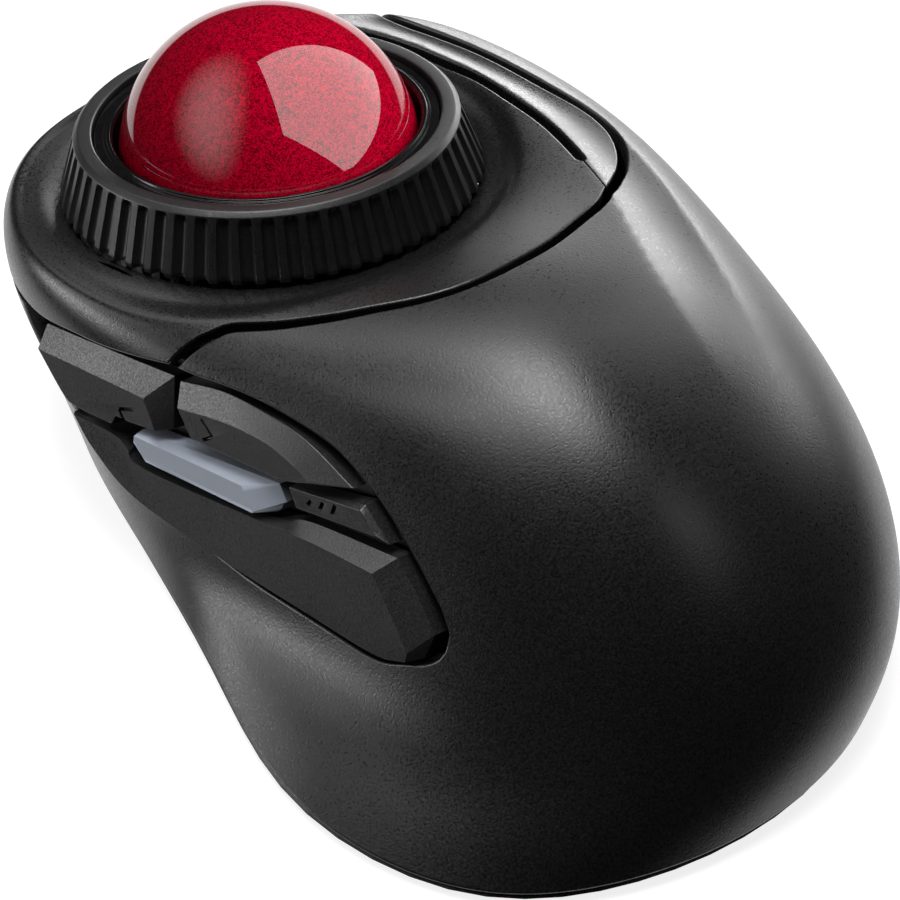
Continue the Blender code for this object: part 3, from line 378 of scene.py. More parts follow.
def unlooped(loop):
    """Draws out the small loops that a run makes where it crosses itself."""
    count = len(loop)
    place = flat(loop)
    run = np.roll(place, -1, axis=0) - place
    for span in range(2, LONGEST_LOOP + 1):
        other = (np.arange(count) + span) % count
        apart = place[other] - place
        turn = run[:, 0] * run[other, 1] - run[:, 1] * run[other, 0]
        turn = np.where(np.abs(turn) < 1e-12, 1e-12, turn)
        here = (apart[:, 0] * run[other, 1] - apart[:, 1] * run[other, 0]) / turn
        there = (apart[:, 0] * run[:, 1] - apart[:, 1] * run[:, 0]) / turn
        for i in np.flatnonzero((here > 0) & (here < 1) & (there > 0) & (there < 1)):
            start, end = loop[i], loop[(i + span + 1) % count]
            for k in range(1, span + 1):
                loop[(i + k) % count] = start + (end - start) * k / (span + 1)
    return loop


def inside(points, loop):
    x, y = points[:, 0], points[:, 1]
    hit = np.zeros(len(points), bool)
    for (x0, y0), (x1, y1) in zip(loop, np.roll(loop, -1, axis=0)):
        crosses = (y0 > y) != (y1 > y)
        hit ^= crosses & (x < (x1 - x0) * (y - y0) / (y1 - y0 + 1e-15) + x0)
    return hit


def fill_points(step):
    """Points spread evenly over the whole form, row by row."""
    rows = []
    for row, v in enumerate(np.arange(0.1, OUT, ROW_PITCH * step)):
        u = np.linspace(0, AROUND, ROW_SAMPLES)
        along, _ = slopes(u, np.full(ROW_SAMPLES, v))
        pace = np.linalg.norm(along, axis=1)
        run = np.r_[0, np.cumsum((pace[1:] + pace[:-1]) / 2 * AROUND / (ROW_SAMPLES - 1))]
        count = int(run[-1] / step)
        spots = (np.arange(count) + 0.5 * (row % 2)) / count * run[-1]
        rows.append(np.stack([np.interp(spots, run, u), np.full(count, v)], axis=1))
    return np.vstack(rows)


SPARE = fill_points(SKIN_STEP)


def far_enough(points, edge, least):
    keep = np.ones(len(points), bool)
    for start in range(0, len(points), 2000):
        away = points[start:start + 2000, None] - edge[None]
        keep[start:start + 2000] = (away * away).sum(2).min(axis=1) > least * least
    return keep


def interior(loops):
    """Points inside the first loop and outside the others, and the triangles over them."""
    spare = SPARE
    disc = flat(spare)
    outline = flat(loops[0])
    keep = inside(disc, outline)
    for hole in loops[1:]:
        keep &= ~inside(disc, flat(hole))
    spare = spare[keep]
    edge = np.vstack(loops)
    place = form(spare[:, 0], spare[:, 1])
    spare = spare[far_enough(place, form(edge[:, 0], edge[:, 1]), EDGE_CLEAR * SKIN_STEP)]
    uv = np.vstack([edge, spare])
    sides = []
    start = 0
    for loop in loops:
        sides += [(start + i, start + (i + 1) % len(loop)) for i in range(len(loop))]
        start += len(loop)
    disc = flat(uv)
    result = delaunay_2d_cdt([Vector(p) for p in disc], sides, [], 0, 1e-8)
    if len(result[0]) != len(disc):
        raise ValueError("an outline crosses itself")
    triangles = np.array([list(f) for f in result[2]])
    centre = disc[triangles].mean(axis=1)
    keep = inside(centre, outline)
    for hole in loops[1:]:
        keep &= ~inside(centre, flat(hole))
    return uv, triangles[keep]


def strip(first, second, count):
    """Triangles between two closed rows of points that start at the given numbers."""
    i = np.arange(count)
    j = (i + 1) % count
    one = np.stack([first + i, first + j, second + j], axis=1)
    two = np.stack([first + i, second + j, second + i], axis=1)
    return np.vstack([one, two])


def facing(faces, points, normals):
    """Turns a group of triangles round if it faces away from its normals."""
    a, b, c = (points[faces[:, k]] for k in range(3))
    agree = (np.cross(b - a, c - a) * normals[faces[:, 0]]).sum()
    return faces if agree > 0 else faces[:, ::-1]


def skin(name, loops, mat, body):
    """A moulded shell piece: outer face, rolled rim, side walls and inner face, all closed."""
    turns = np.radians([0, 30, 60, 90])
    rows = [[inset(loop[:, :2], loop[:, 2] * (1 - math.cos(t))) for loop in loops]
            for t in turns]
    radius = np.concatenate([loop[:, 2] for loop in loops])
    uv, triangles = interior(rows[-1])
    size = len(radius)
    uv = np.vstack([np.vstack(row) for row in rows[:-1]] + [uv])
    normal = outward_normal(uv[:, 0], uv[:, 1])
    side = -np.vstack([sideways(loop[:, :2])[0] for loop in loops])
    drop = np.zeros(len(uv))
    bent = normal.copy()
    for k, t in enumerate(turns):
        part = slice(k * size, (k + 1) * size)
        drop[part] = radius * (1 - math.sin(t))
        bent[part] = unit(normal[part] * math.sin(t) + side * math.cos(t))
    surface = form(uv[:, 0], uv[:, 1])
    outer = surface - normal * drop[:, None]
    level = normal.copy()
    level[:, 2] *= ease((OUT - uv[:, 1]) / 1.6)
    level = unit(level)
    inner = surface - level * SHELL_THICK
    inner[:, 2] = np.maximum(inner[:, 2], CASE_TOP + GAP)
    triangles = triangles + (len(turns) - 1) * size
    rims = []
    walls = []
    start = 0
    for loop in loops:
        for k in range(len(turns) - 1):
            rims.append(strip(k * size + start, (k + 1) * size + start, len(loop)))
        walls.append(strip(start + len(uv), start, len(loop)))
        start += len(loop)
    points = np.vstack([outer, inner])
    edge_side = np.tile(np.vstack([side, np.zeros((len(uv) - size, 3))]), (2, 1))
    face = np.vstack([facing(part, outer, bent) for part in rims + [triangles]])
    wall = np.vstack([facing(part, points, edge_side) for part in walls])
    back = face[:, ::-1] + len(uv)
    corner = np.vstack([bent[face.ravel()], edge_side[wall.ravel()],
                        -np.tile(level, (2, 1))[back.ravel()]])
    faces = np.vstack([face, wall, back])
    return solid(name, points, faces, mat, body, [name], corner)


def nearest(points, line):
    """Distance from each point to the nearest point of a line."""
    return np.linalg.norm(points[:, None] - line[None], axis=2).min(axis=1)


def creased(loop):
    """1 where a run follows the closed end of the slot, 0 elsewhere."""
    place = form(loop[:, 0], loop[:, 1])
    slot, rear, right = (smooth_run(run, 0.1) for run in (SLOT, REAR_SEAM, RIGHT_SEAM))
    seams = np.vstack([rear, right])
    on_slot = nearest(place, form(slot[:, 0], slot[:, 1])) < nearest(place, form(seams[:, 0], seams[:, 1]))
    corner = form(np.array([SLOT[0][0]]), np.array([SLOT[0][1]]))
    return on_slot * ease((CREASE_LENGTH + 0.4 - nearest(place, corner)) / 0.8)


def seamed(runs, step):
    """A closed run drawn in by half a seam: u, v and edge radius of each point."""
    loop = loop_of(runs, step)
    close = creased(loop)
    moved = inset(loop, SEAM + (CREASE_GAP - SEAM) * close)
    if close.max() > 0:
        corner = int(np.argmin(np.abs(loop % AROUND - SLOT[0]).sum(axis=1)))
        way = 1 if close[(corner + 1) % len(loop)] < close[corner - 1] else -1
        one = moved[(corner + way) % len(loop)]
        two = moved[(corner + 2 * way) % len(loop)]
        moved[corner] = 2 * one - two
        close[corner] = 0.5
    return np.column_stack([moved, EDGE_ROUND + (CREASE_ROUND - EDGE_ROUND) * close])


def shell_loops(step):
    base = [(u, OUT) for u in np.linspace(1.75, 13.92, 48)]
    runs = [base, [(13.92, 8), (13.92, 7), (13.92, 6.05)], POCKET_FLOOR[::-1], POCKET_TOP[::-1],
            REAR_SEAM, RIGHT_SEAM, [(1.75, 5), (1.75, 6.5), (1.75, 8)]]
    return [seamed(runs, step)]


def deck_loops(step):
    slot = [(u + 16, v) for u, v in SLOT]
    seam = [(u + 16, v) for u, v in REAR_SEAM]
    outline = seamed([DECK_EDGE, slot[::-1], seam[::-1]], step)
    count = int(2 * math.pi * SOCKET_RADIUS / step)
    around = np.linspace(0, AROUND, count, endpoint=False)
    socket = np.array([(AROUND - u, 0.0, EDGE_ROUND) for u in around])
    return [outline, socket]


def button_loops(step):
    front = [(0.95, 5.0), (1.35, 5.05), (1.75, 5.0)]
    return [seamed([SLOT, front, RIGHT_SEAM[::-1]], step)]


def skirt_loops(step):
    runs = [[(u, OUT) for u in np.linspace(13.92, 17.75, 20)], [(17.75, 8), (17.75, 6.5), (17.75, 5)],
            [(17.75, 5.0), (17.35, 5.05), (16.95, 5.0)], DECK_EDGE[5:][::-1],
            [(13.92, 4.62), (13.92, 6.0), (13.92, 7), (13.92, 8)]]
    return [seamed(runs, step)]


# ---- turned pieces ----------------------------------------------------------------------

def turned(profile, count, centre, axis, side):
    """Revolves a closed (radius, height) profile: points and quads."""
    front = np.cross(axis, side)
    a = 2 * math.pi * np.arange(count) / count
    outward = np.cos(a)[:, None] * side + np.sin(a)[:, None] * front
    profile = np.array(profile, float)
    points = (np.array(centre) + outward[:, None] * profile[None, :, :1]
              + axis * profile[None, :, 1:])
    return points.reshape(-1, 3), turned_faces(count, len(profile))


def turned_faces(count, size):
    i, j = np.meshgrid(np.arange(count), np.arange(size), indexing="ij")
    k = (i + 1) % count
    m = (j + 1) % size
    return np.stack([i * size + j, k * size + j, k * size + m, i * size + m], axis=-1).reshape(-1, 4)


def rounded(corners, segments):
    """Rounds a flat outline: each corner is (x, y, radius)."""
    points = []
    count = len(corners)
    for i, (x, y, r) in enumerate(corners):
        here = np.array([x, y], float)
        if r == 0:
            points.append(tuple(here))
            continue
        before = unit(np.array(corners[i - 1][:2], float) - here)
        after = unit(np.array(corners[(i + 1) % count][:2], float) - here)
        half = math.acos(np.clip(before @ after, -1, 1)) / 2
        reach = r / math.tan(half)
        middle = here + unit(before + after) * (r / math.sin(half))
        start = here + before * reach - middle
        end = here + after * reach - middle
        for k in range(segments + 1):
            w = k / segments
            points.append(tuple(middle + unit(start * (1 - w) + end * w) * r))
    return points


def make_ball(mat):
    """A sphere of even squares, with no poles."""
    side = 56
    t = np.tan(np.linspace(-math.pi / 4, math.pi / 4, side + 1))
    a, b = np.meshgrid(t, t, indexing="ij")
    one = np.ones_like(a)
    patches = []
    faces = []
    for axis in range(3):
        for sign in (1, -1):
            coords = [None, None, None]
            coords[axis] = one * sign
            coords[(axis + 1) % 3] = a
            coords[(axis + 2) % 3] = b * sign
            base = len(patches) * (side + 1) ** 2
            patches.append(np.stack(coords, axis=-1).reshape(-1, 3))
            i, j = np.meshgrid(np.arange(side), np.arange(side), indexing="ij")
            k = base + i * (side + 1) + j
            faces.append(np.stack([k, k + side + 1, k + side + 2, k + 1], axis=-1).reshape(-1, 4))
    ray = unit(np.vstack(patches))
    ball = solid("ball_sphere", BALL_CENTRE + ray * BALL_RADIUS, np.vstack(faces), mat, "ball",
                 ["trackball"], smooth=None)
    weld(ball)
    return ball


def weld(obj, distance=1e-6):
    bm = bmesh.new()
    bm.from_mesh(obj.data)
    bmesh.ops.remove_doubles(bm, verts=bm.verts, dist=distance)
    bmesh.ops.recalc_face_normals(bm, faces=bm.faces)
    bm.to_mesh(obj.data)
    bm.free()


def ring_profile():
    """Closed (radius, height) outline of the scroll ring, going down its outer side."""
    corners = [(RING_BORE, RING_TOP, 0.25), (24.95, RING_TOP, 0.5), (25.6, RING_TOP - 0.6, 0.5),
               (RING_OUTER, RING_SHOULDER, 0.8),
               (RING_OUTER, RING_BOTTOM, 0.3), (RING_SKIRT, RING_BOTTOM, 0),
               (RING_SKIRT, -8.0, 0.2), (24.2, -8.0, 0.2), (24.2, -4.6, 0), (RING_BORE, -4.6, 0.2)]
    points = rounded(corners, segments=5)
    fine = []
    for (r0, h0), (r1, h1) in zip(points, points[1:] + points[:1]):
        on_wall = min(r0, r1) > 25.0 and max(h0, h1) > RING_BOTTOM + 0.5
        steps = max(1, int(abs(h1 - h0) / 0.35)) if on_wall else 1
        for k in range(steps):
            w = k / steps
            fine.append((r0 + (r1 - r0) * w, h0 + (h1 - h0) * w))
    return fine


def make_ring(mat):
    """Scroll ring with round-ended flutes that leave flat ribs between them."""
    columns = 24
    count = RIB_COUNT * columns
    profile = np.array(ring_profile())
    points, faces = turned(profile, count, BALL_CENTRE, RING_AXIS, RING_SIDE)
    turn = np.repeat(np.arange(count) / columns, len(profile))
    height = np.tile(profile[:, 1], count)
    radius = np.tile(profile[:, 0], count)
    across = (turn % 1 - 0.5) * 2 * math.pi * radius / RIB_COUNT
    over = np.maximum(0, height - FLUTE_TOP)
    away = np.hypot(across, over) / FLUTE_HALF
    on_wall = (radius > 24.9) & (height > RING_BOTTOM - 0.1)
    depth = RIB_DEPTH * np.clip(1 - away * away, 0, 1) ** 0.7 * on_wall
    outward = points - BALL_CENTRE - ((points - BALL_CENTRE) @ RING_AXIS)[:, None] * RING_AXIS
    points = points - unit(outward) * depth[:, None]
    solid("scroll_ring_body", points, faces, mat, "ring", ["scroll_ring"], smooth=38)


def bearing_spot(index, radius):
    a = math.radians(30 + 120 * index)
    outward = RING_SIDE * math.cos(a) + RING_FRONT * math.sin(a)
    latitude = math.radians(-38)
    ray = outward * math.cos(latitude) + RING_AXIS * math.sin(latitude)
    return BALL_CENTRE + ray * radius, ray


def make_cup(mat):
    """Gloss cup round the ball, with fine steps turned in its rim."""
    bowl = [math.radians(a) for a in range(18, 91, 3)]
    inner = [(CUP_INNER * math.sin(a), -CUP_INNER * math.cos(a), 0) for a in bowl]
    outer = [(CUP_OUTER * math.sin(a), -CUP_OUTER * math.cos(a), 0) for a in reversed(bowl)]
    rim = [(CUP_INNER, CUP_RIM - 0.5, 0.1), (20.75, CUP_RIM, 0.1), (21.15, CUP_RIM, 0.08),
           (21.25, CUP_RIM - 0.22, 0.05), (21.6, CUP_RIM - 0.22, 0.05), (21.68, CUP_RIM - 0.4, 0.05),
           (CUP_COLLAR, CUP_RIM - 0.3, 0.1), (CUP_COLLAR, 0.3, 0.1)]
    profile = rounded(inner + rim + outer, segments=3)
    points, faces = turned(profile, 288, BALL_CENTRE, RING_AXIS, RING_SIDE)
    cup = solid("ball_cup_shell", points, faces, mat, "case", ["ball_cup"], smooth=30)
    for index in range(3):
        spot, ray = bearing_spot(index, BALL_RADIUS - 1)
        side = unit(np.cross(ray, [0.0, 0.0, 1.0]))
        hole = [(1.3, 0), (1.3, 5)]
        points, faces = tube(hole, 24, spot, ray, side)
        cut(cup, points, faces)


def capped(rings, count):
    """Faces of a closed solid of rings with count points each: both ends, and the sides."""
    faces = [tuple(reversed(range(count)))]
    for base in range(0, (rings - 1) * count, count):
        for i in range(count):
            j = (i + 1) % count
            faces.append((base + i, base + j, base + count + j, base + count + i))
    last = (rings - 1) * count
    faces.append(tuple(range(last, last + count)))
    return faces


def tube(profile, count, centre, axis, side):
    """A solid of (radius, height) rings from its first height to its last, with flat ends."""
    front = np.cross(axis, side)
    a = 2 * math.pi * np.arange(count) / count
    outward = np.cos(a)[:, None] * side + np.sin(a)[:, None] * front
    points = [np.array(centre) + outward * r + axis * h for r, h in profile]
    return np.vstack(points), capped(len(profile), count)


def cut(obj, points, faces):
    """Cuts a solid out of a piece and applies the result."""
    mesh = bpy.data.meshes.new("cutter")
    mesh.from_pydata(((np.asarray(points, float) + SHIFT) * MM).tolist(), [],
                     [tuple(int(i) for i in f) for f in faces])
    bm = bmesh.new()
    bm.from_mesh(mesh)
    bmesh.ops.recalc_face_normals(bm, faces=bm.faces)
    bm.to_mesh(mesh)
    bm.free()
    cutter = bpy.data.objects.new("cutter", mesh)
    bpy.context.scene.collection.objects.link(cutter)
    mod = obj.modifiers.new("cut", "BOOLEAN")
    mod.operation = "DIFFERENCE"
    mod.solver = "EXACT"
    mod.object = cutter
    settle(obj)
    bpy.data.objects.remove(cutter, do_unlink=True)


def settle(obj):
    """Applies a piece's modifiers to its mesh."""
    graph = bpy.context.evaluated_depsgraph_get()
    made = bpy.data.meshes.new_from_object(obj.evaluated_get(graph))
    obj.modifiers.clear()
    obj.data = made


def bevelled(obj, width, segments, degrees):
    """Rounds the edges sharper than the angle; the width is in millimetres."""
    mod = obj.modifiers.new("edge", "BEVEL")
    mod.width = width * MM
    mod.segments = segments
    mod.limit_method = "ANGLE"
    mod.angle_limit = math.radians(degrees)
    mod.harden_normals = True
    mod.use_clamp_overlap = True


# ---- thumb keys -------------------------------------------------------------------------

def on_thumb(p, q, level):
    return THUMB_CENTRE + THUMB_P * p + THUMB_Q * q + THUMB_NORMAL * level


def traced(outline, pieces=8, corner=32):
    """Samples an outline: straight into sharp corners, curved through gentle ones."""
    pts = np.array(outline, float)
    count = len(pts)
    ahead = unit(np.roll(pts, -1, axis=0) - pts)
    behind = np.roll(ahead, 1, axis=0)
    sharp = (ahead * behind).sum(1) < math.cos(math.radians(corner))
    fine = []
    for i in range(count):
        b, c = pts[i], pts[(i + 1) % count]
        a = 2 * b - c if sharp[i] else pts[i - 1]
        d = 2 * c - b if sharp[(i + 1) % count] else pts[(i + 2) % count]
        t = np.linspace(0, 1, pieces, endpoint=False)[:, None]
        fine.append(between(a, b, c, d, t))
    return np.vstack(fine)


def loft(levels, place):
    """Joins outlines with equal point counts, level by level, and caps both ends."""
    count = len(levels[0][0])
    points = [place(p, q, level) for outline, level in levels for p, q in outline]
    return points, capped(len(levels), count)


def shrunk(outline, factor):
    pts = np.array(outline, float)
    centre = pts.mean(axis=0)
    return centre + factor * (pts - centre)


def make_key(name, node, face, foot, lift, mat, body, marks=()):
    levels = [(shrunk(foot, 0.4), -5.9), (shrunk(foot, 0.4), -2.2), (foot, -2.2), (foot, 0.2),
              (face, lift)]
    levels = [(traced(outline), level) for outline, level in levels]
    points, faces = loft(levels, on_thumb)
    obj = solid(name, points, faces, mat, body, [node], smooth=None)
    weld(obj)
    bevelled(obj, 0.26, 4, KEY_CREASE)
    settle(obj)
    for mark in marks:
        points, faces = loft([(mark, lift - MARK_DEPTH), (mark, lift + 1)], on_thumb)
        cut(obj, points, faces)
    obj.data.set_sharp_from_angle(angle=math.radians(40))
    even = obj.modifiers.new("even", "WEIGHTED_NORMAL")
    even.weight = 100
    even.keep_sharp = True
    return obj


def stroke(start, end, width):
    """A straight stroke as a thin outline."""
    start = np.array(start, float)
    end = np.array(end, float)
    run = unit(end - start)
    side = np.array([-run[1], run[0]]) * width / 2
    return [start - side, end - side, end + side, start + side]


def chevron(tip, wing, width):
    """Two strokes that meet at a tip, each reaching back by the wing offsets."""
    one = (tip[0] + wing[0], tip[1] + wing[1])
    two = (tip[0] + wing[0] * 0.6, tip[1] - wing[1])
    return [stroke(tip, one, width), stroke(tip, two, width)]


def make_thumb_keys(dark, grey):
    make_key("forward_key_cap", "forward_button", FORWARD_FACE, FORWARD_FOOT, 1.5, dark,
             "forward_key", chevron((35.2, -1.3), (-2.4, 1.3), 0.5))
    make_key("back_key_cap", "back_button", BACK_FACE, BACK_FOOT, 1.5, dark, "back_key",
             chevron((18.6, 4.2), (2.5, 1.3), 0.5))
    make_key("middle_key_cap", "middle_button", MIDDLE_FACE, MIDDLE_FOOT, 1.9, grey, "middle_key")
    bars = [stroke((1.4 - 2.0 * k, 4.3 + 0.5 * k), (1.2 - 2.0 * k, 5.2 + 0.85 * k), 0.6)
            for k in range(3)]
    make_key("speed_key_cap", "dpi_button", DPI_FACE, DPI_FOOT, 1.2, dark, "dpi_key", bars)
    make_key("left_key_cap", "left_button", LEFT_FACE, LEFT_FOOT, 1.5, dark, "left_key")


# ---- materials --------------------------------------------------------------------------

class Nodes:
    """A material's node tree, with short calls for the nodes used here."""

    def __init__(self, name, roughness, metallic=0.0, **sockets):
        self.mat = bpy.data.materials.new(name)
        self.mat.use_nodes = True
        self.tree = self.mat.node_tree
        self.shader = self.tree.nodes["Principled BSDF"]
        self.shader.inputs["Roughness"].default_value = roughness
        self.shader.inputs["Metallic"].default_value = metallic
        for socket, value in sockets.items():
            self.shader.inputs[socket.replace("_", " ")].default_value = value
        self.place = self.tree.nodes.new("ShaderNodeTexCoord").outputs["Object"]

    def node(self, kind, inputs=(), **settings):
        made = self.tree.nodes.new(kind)
        for key, value in settings.items():
            setattr(made, key, value)
        for key, value in dict(inputs).items():
            if isinstance(value, bpy.types.NodeSocket):
                self.tree.links.new(value, made.inputs[key])
            else:
                made.inputs[key].default_value = value
        return made

    def noise(self, size, detail=2.0, rough=0.5):
        """Noise with features about size millimetres across."""
        inputs = {"Vector": self.place, "Scale": 1000 / size, "Detail": detail, "Roughness": rough}
        return self.node("ShaderNodeTexNoise", inputs).outputs["Fac"]

    def cells(self, size, feature="F1"):
        inputs = {"Vector": self.place, "Scale": 1000 / size}
        return self.node("ShaderNodeTexVoronoi", inputs, feature=feature)

    def ranged(self, value, low, high, to_low, to_high):
        inputs = {"Value": value, "From Min": low, "From Max": high, "To Min": to_low,
                  "To Max": to_high}
        return self.node("ShaderNodeMapRange", inputs).outputs["Result"]

    def math(self, operation, a, b):
        made = self.node("ShaderNodeMath", {0: a, 1: b}, operation=operation)
        return made.outputs[0]

    def mix(self, factor, a, b):
        inputs = {"Factor": factor, "A": (*a, 1) if isinstance(a, tuple) else a,
                  "B": (*b, 1) if isinstance(b, tuple) else b}
        made = self.tree.nodes.new("ShaderNodeMix")
        made.data_type = "RGBA"
        sockets = {"Factor": made.inputs[0], "A": made.inputs[6], "B": made.inputs[7]}
        for key, value in inputs.items():
            if isinstance(value, bpy.types.NodeSocket):
                self.tree.links.new(value, sockets[key])
            else:
                sockets[key].default_value = value
        return made.outputs[2]

    def wear_and_sheen(self):
        """High along outer edges: where plastic is polished by use, and where the colour is lightened as a
        painted highlight.
        """
        point = self.node("ShaderNodeNewGeometry").outputs["Pointiness"]
        return self.ranged(point, 0.52, 0.62, 0.0, 1.0)

    def bump(self, height, depth, strength=1.0):
        """Raises the surface by height times depth, in millimetres."""
        made = self.node("ShaderNodeBump", {"Height": height, "Distance": depth * MM,
                                            "Strength": strength})
        self.set("Normal", made.outputs["Normal"])
        return made

    def set(self, socket, value):
        self.tree.links.new(value, self.shader.inputs[socket])


def plastic(name, colour, roughness, grain=0.35, depth=0.012, spread=0.08, contrast=1.0):
    """Moulded plastic with a spark-eroded grain, uneven polish, and edges lightened partly as wear and
    partly as a painted highlight.
    """
    n = Nodes(name, roughness)
    fine = n.noise(grain, 2.0, 0.6)
    broad = n.noise(18, 3.0, 0.6)
    dark = tuple((1 - 0.4 * contrast) * c for c in colour)
    light = tuple((1 + 0.5 * contrast) * c for c in colour)
    tone = n.mix(n.ranged(fine, 0.35, 0.7, 0.0, 1.0), dark, light)
    # Edge colour: partly wear, partly a painted highlight that lightens the edges.
    edge = tuple(min(1.0, 2.2 * c) for c in colour)
    n.set("Base Color", n.mix(n.math("MULTIPLY", n.wear_and_sheen(), 0.5), tone, edge))
    rough = n.math("ADD", n.ranged(fine, 0.3, 0.7, -spread, spread),
                   n.ranged(broad, 0.3, 0.7, roughness - 0.03, roughness + 0.03))
    n.set("Roughness", n.math("SUBTRACT", rough, n.math("MULTIPLY", n.wear_and_sheen(), 0.08)))
    n.bump(fine, depth)
    return n.mat


def ball_red():
    """Clear resin over a deep red base full of fine metal flakes."""
    n = Nodes("ball red", 0.42, 0.0, Specular_IOR_Level=0.0, Coat_Weight=1.0,
              Coat_Roughness=0.012, Coat_IOR=1.55)
    flakes = n.cells(0.17)
    pick = n.node("ShaderNodeSeparateColor", {"Color": flakes.outputs["Color"]}).outputs[0]
    cloud = n.noise(0.8, 3.0, 0.65)
    share = n.math("ADD", n.math("MULTIPLY", pick, 0.7), n.math("MULTIPLY", cloud, 0.5))
    tone = n.mix(n.ranged(share, 0.25, 0.95, 0.0, 1.0), (0.07, 0.0, 0.003), (0.44, 0.0, 0.018))
    n.set("Base Color", tone)
    n.set("Roughness", n.ranged(pick, 0.0, 1.0, 0.36, 0.5))
    tilt = n.node("ShaderNodeBump", {"Height": pick, "Distance": 0.02 * MM, "Strength": 0.4})
    n.set("Normal", tilt.outputs["Normal"])
    return n.mat


def metal(name, colour, roughness, streak=0.6):
    n = Nodes(name, roughness, 1.0)
    line = n.noise(streak, 3.0, 0.7)
    n.set("Base Color", n.mix(line, tuple(0.82 * c for c in colour), colour))
    n.set("Roughness", n.ranged(line, 0.3, 0.7, roughness - 0.08, roughness + 0.1))
    n.bump(line, 0.004)
    return n.mat


def board(name, mask):
    """Solder mask over copper tracks, on glass weave."""
    n = Nodes(name, 0.35)
    tracks = n.node("ShaderNodeTexBrick", {"Vector": n.place, "Scale": 160.0, "Mortar Size": 0.03,
                                           "Color1": (*mask, 1),
                                           "Color2": (*(1.35 * c for c in mask), 1),
                                           "Mortar": (*(0.65 * c for c in mask), 1)})
    n.set("Base Color", tracks.outputs["Color"])
    weave = n.noise(0.4, 2.0)
    n.set("Roughness", n.ranged(weave, 0.3, 0.7, 0.28, 0.45))
    n.bump(weave, 0.01)
    return n.mat


# Moulded plastics: colour, roughness, grain in mm, its depth in mm, polish spread and contrast.
PLASTICS = {
    "shell_black": ((0.0070, 0.0070, 0.0073), 0.34, 0.32, 0.036),
    "deck_black": ((0.0055, 0.0055, 0.0058), 0.32, 0.3, 0.022),
    "ring_black": ((0.008, 0.008, 0.0083), 0.4, 0.25, 0.012),
    "key_black": ((0.0105, 0.0105, 0.011), 0.39, 0.3, 0.026),
    "key_grey": ((0.30, 0.33, 0.39), 0.38, 0.1, 0.002, 0.03, 0.15),
    "cup_black": ((0.004, 0.004, 0.0045), 0.13, 0.5, 0.001, 0.02),
    "case_black": ((0.013, 0.013, 0.0135), 0.5, 0.4, 0.014),
    "foot_rubber": ((0.045, 0.045, 0.047), 0.34, 0.2, 0.004, 0.05),
    "ceramic": ((0.72, 0.72, 0.69), 0.15, 0.2, 0.002, 0.03, 0.15),
    "chip_black": ((0.02, 0.02, 0.021), 0.45, 0.15, 0.006),
    "battery_wrap": ((0.05, 0.08, 0.2), 0.3, 0.8, 0.004, 0.04),
}


def make_materials():
    """Every material of the mouse, by slot."""
    made = {slot: plastic(slot.replace("_", " "), *finish) for slot, finish in PLASTICS.items()}
    made["ball_red"] = ball_red()
    made["steel"] = metal("steel", (0.62, 0.62, 0.63), 0.28)
    made["board_green"] = board("board green", (0.015, 0.11, 0.045))
    # The thumb board gets a black mask as painted shade, so the opening at the front of the key pocket
    # looks like shadow.
    made["board_black_as_shade"] = board("board black as shade", (0.006, 0.006, 0.0065))
    return made


# ---- stage ------------------------------------------------------------------------------

# Softboxes for everything but the ball: direction from the mouse, size in metres, watts.
SOFTBOXES = [
    ("top box", (0.12, 0.26, 0.96), (0.42, 0.5), 5.6),
    ("over box", (-0.02, 0.0, 1), (0.3, 0.3), 1.8),
    ("upper left box", (-0.38, 0.15, 0.91), (0.3, 0.35), 1.6),
    ("back box", (0.15, 0.66, 0.72), (0.8, 0.25), 1.2),
    ("right box", (0.96, 0.15, 0.2), (0.4, 0.25), 1.6),
    ("right rear box", (0.77, 0.63, 0.06), (0.55, 0.2), 3.2),
    ("upper right box", (0.75, 0.35, 0.55), (0.35, 0.35), 0.7),
    ("left rear box", (-0.80, 0.58, 0.12), (0.45, 0.25), 2.6),
    ("left box", (-0.66, 0.6, 0.42), (0.3, 0.3), 0.9),
    ("front box", (0.33, -0.58, 0.74), (0.25, 0.25), 0.35),
]
# Panels that the glossy ball mirrors: place, facing, up, size in metres, watts, soft edge.
BALL_PANELS = [
    ("ball window", (0.454, -0.459, 0.888), (0.741, -0.219, 0.634), (0.28, 0.96, 0.0), (1.62, 1.7),
     34.0, 0.0),
    ("ball glow", (-0.653, 0.234, 0.724), (-0.653, 0.234, 0.724), (0.69, 0.66, 0.28), (1.1, 2.1),
     13.0, 0.9),
]
# How far the lights stand, in metres, then the room and the white table that the mouse mirrors.
LIGHT_DISTANCE = 0.9
ROOM_LIGHT = 0.015
TABLE_LIGHT = 1.15
TABLE_SLANT = 0.36
TABLE_EDGE = (0.45, 0.5)
AHEAD = (0.588, 0.809)
CAMERA_LENS = 135.9
CAMERA_PLACE = (-0.19052, -0.26233, 0.32120)
CAMERA_RIGHT = (0.80902, -0.58779, 0)
CAMERA_UP = (0.40831, 0.56199, 0.71934)


def direction(x, y, z):
    return unit(np.array([x, y, z], float))


def softbox(name, place, facing, up, size, power):
    """An area light at a place seen from the mouse, in metres, shining back along facing."""
    data = bpy.data.lights.new(name, "AREA")
    data.shape = "RECTANGLE"
    data.size, data.size_y = size
    data.energy = power
    light = bpy.data.objects.new(name, data)
    back = Vector(facing).normalized()
    side = Vector(up).cross(back).normalized()
    turn = Matrix((side, back.cross(side), back)).transposed().to_4x4()
    light.matrix_world = Matrix.Translation(Vector(place) * LIGHT_DISTANCE) @ turn
    bpy.context.scene.collection.objects.link(light)
    return light


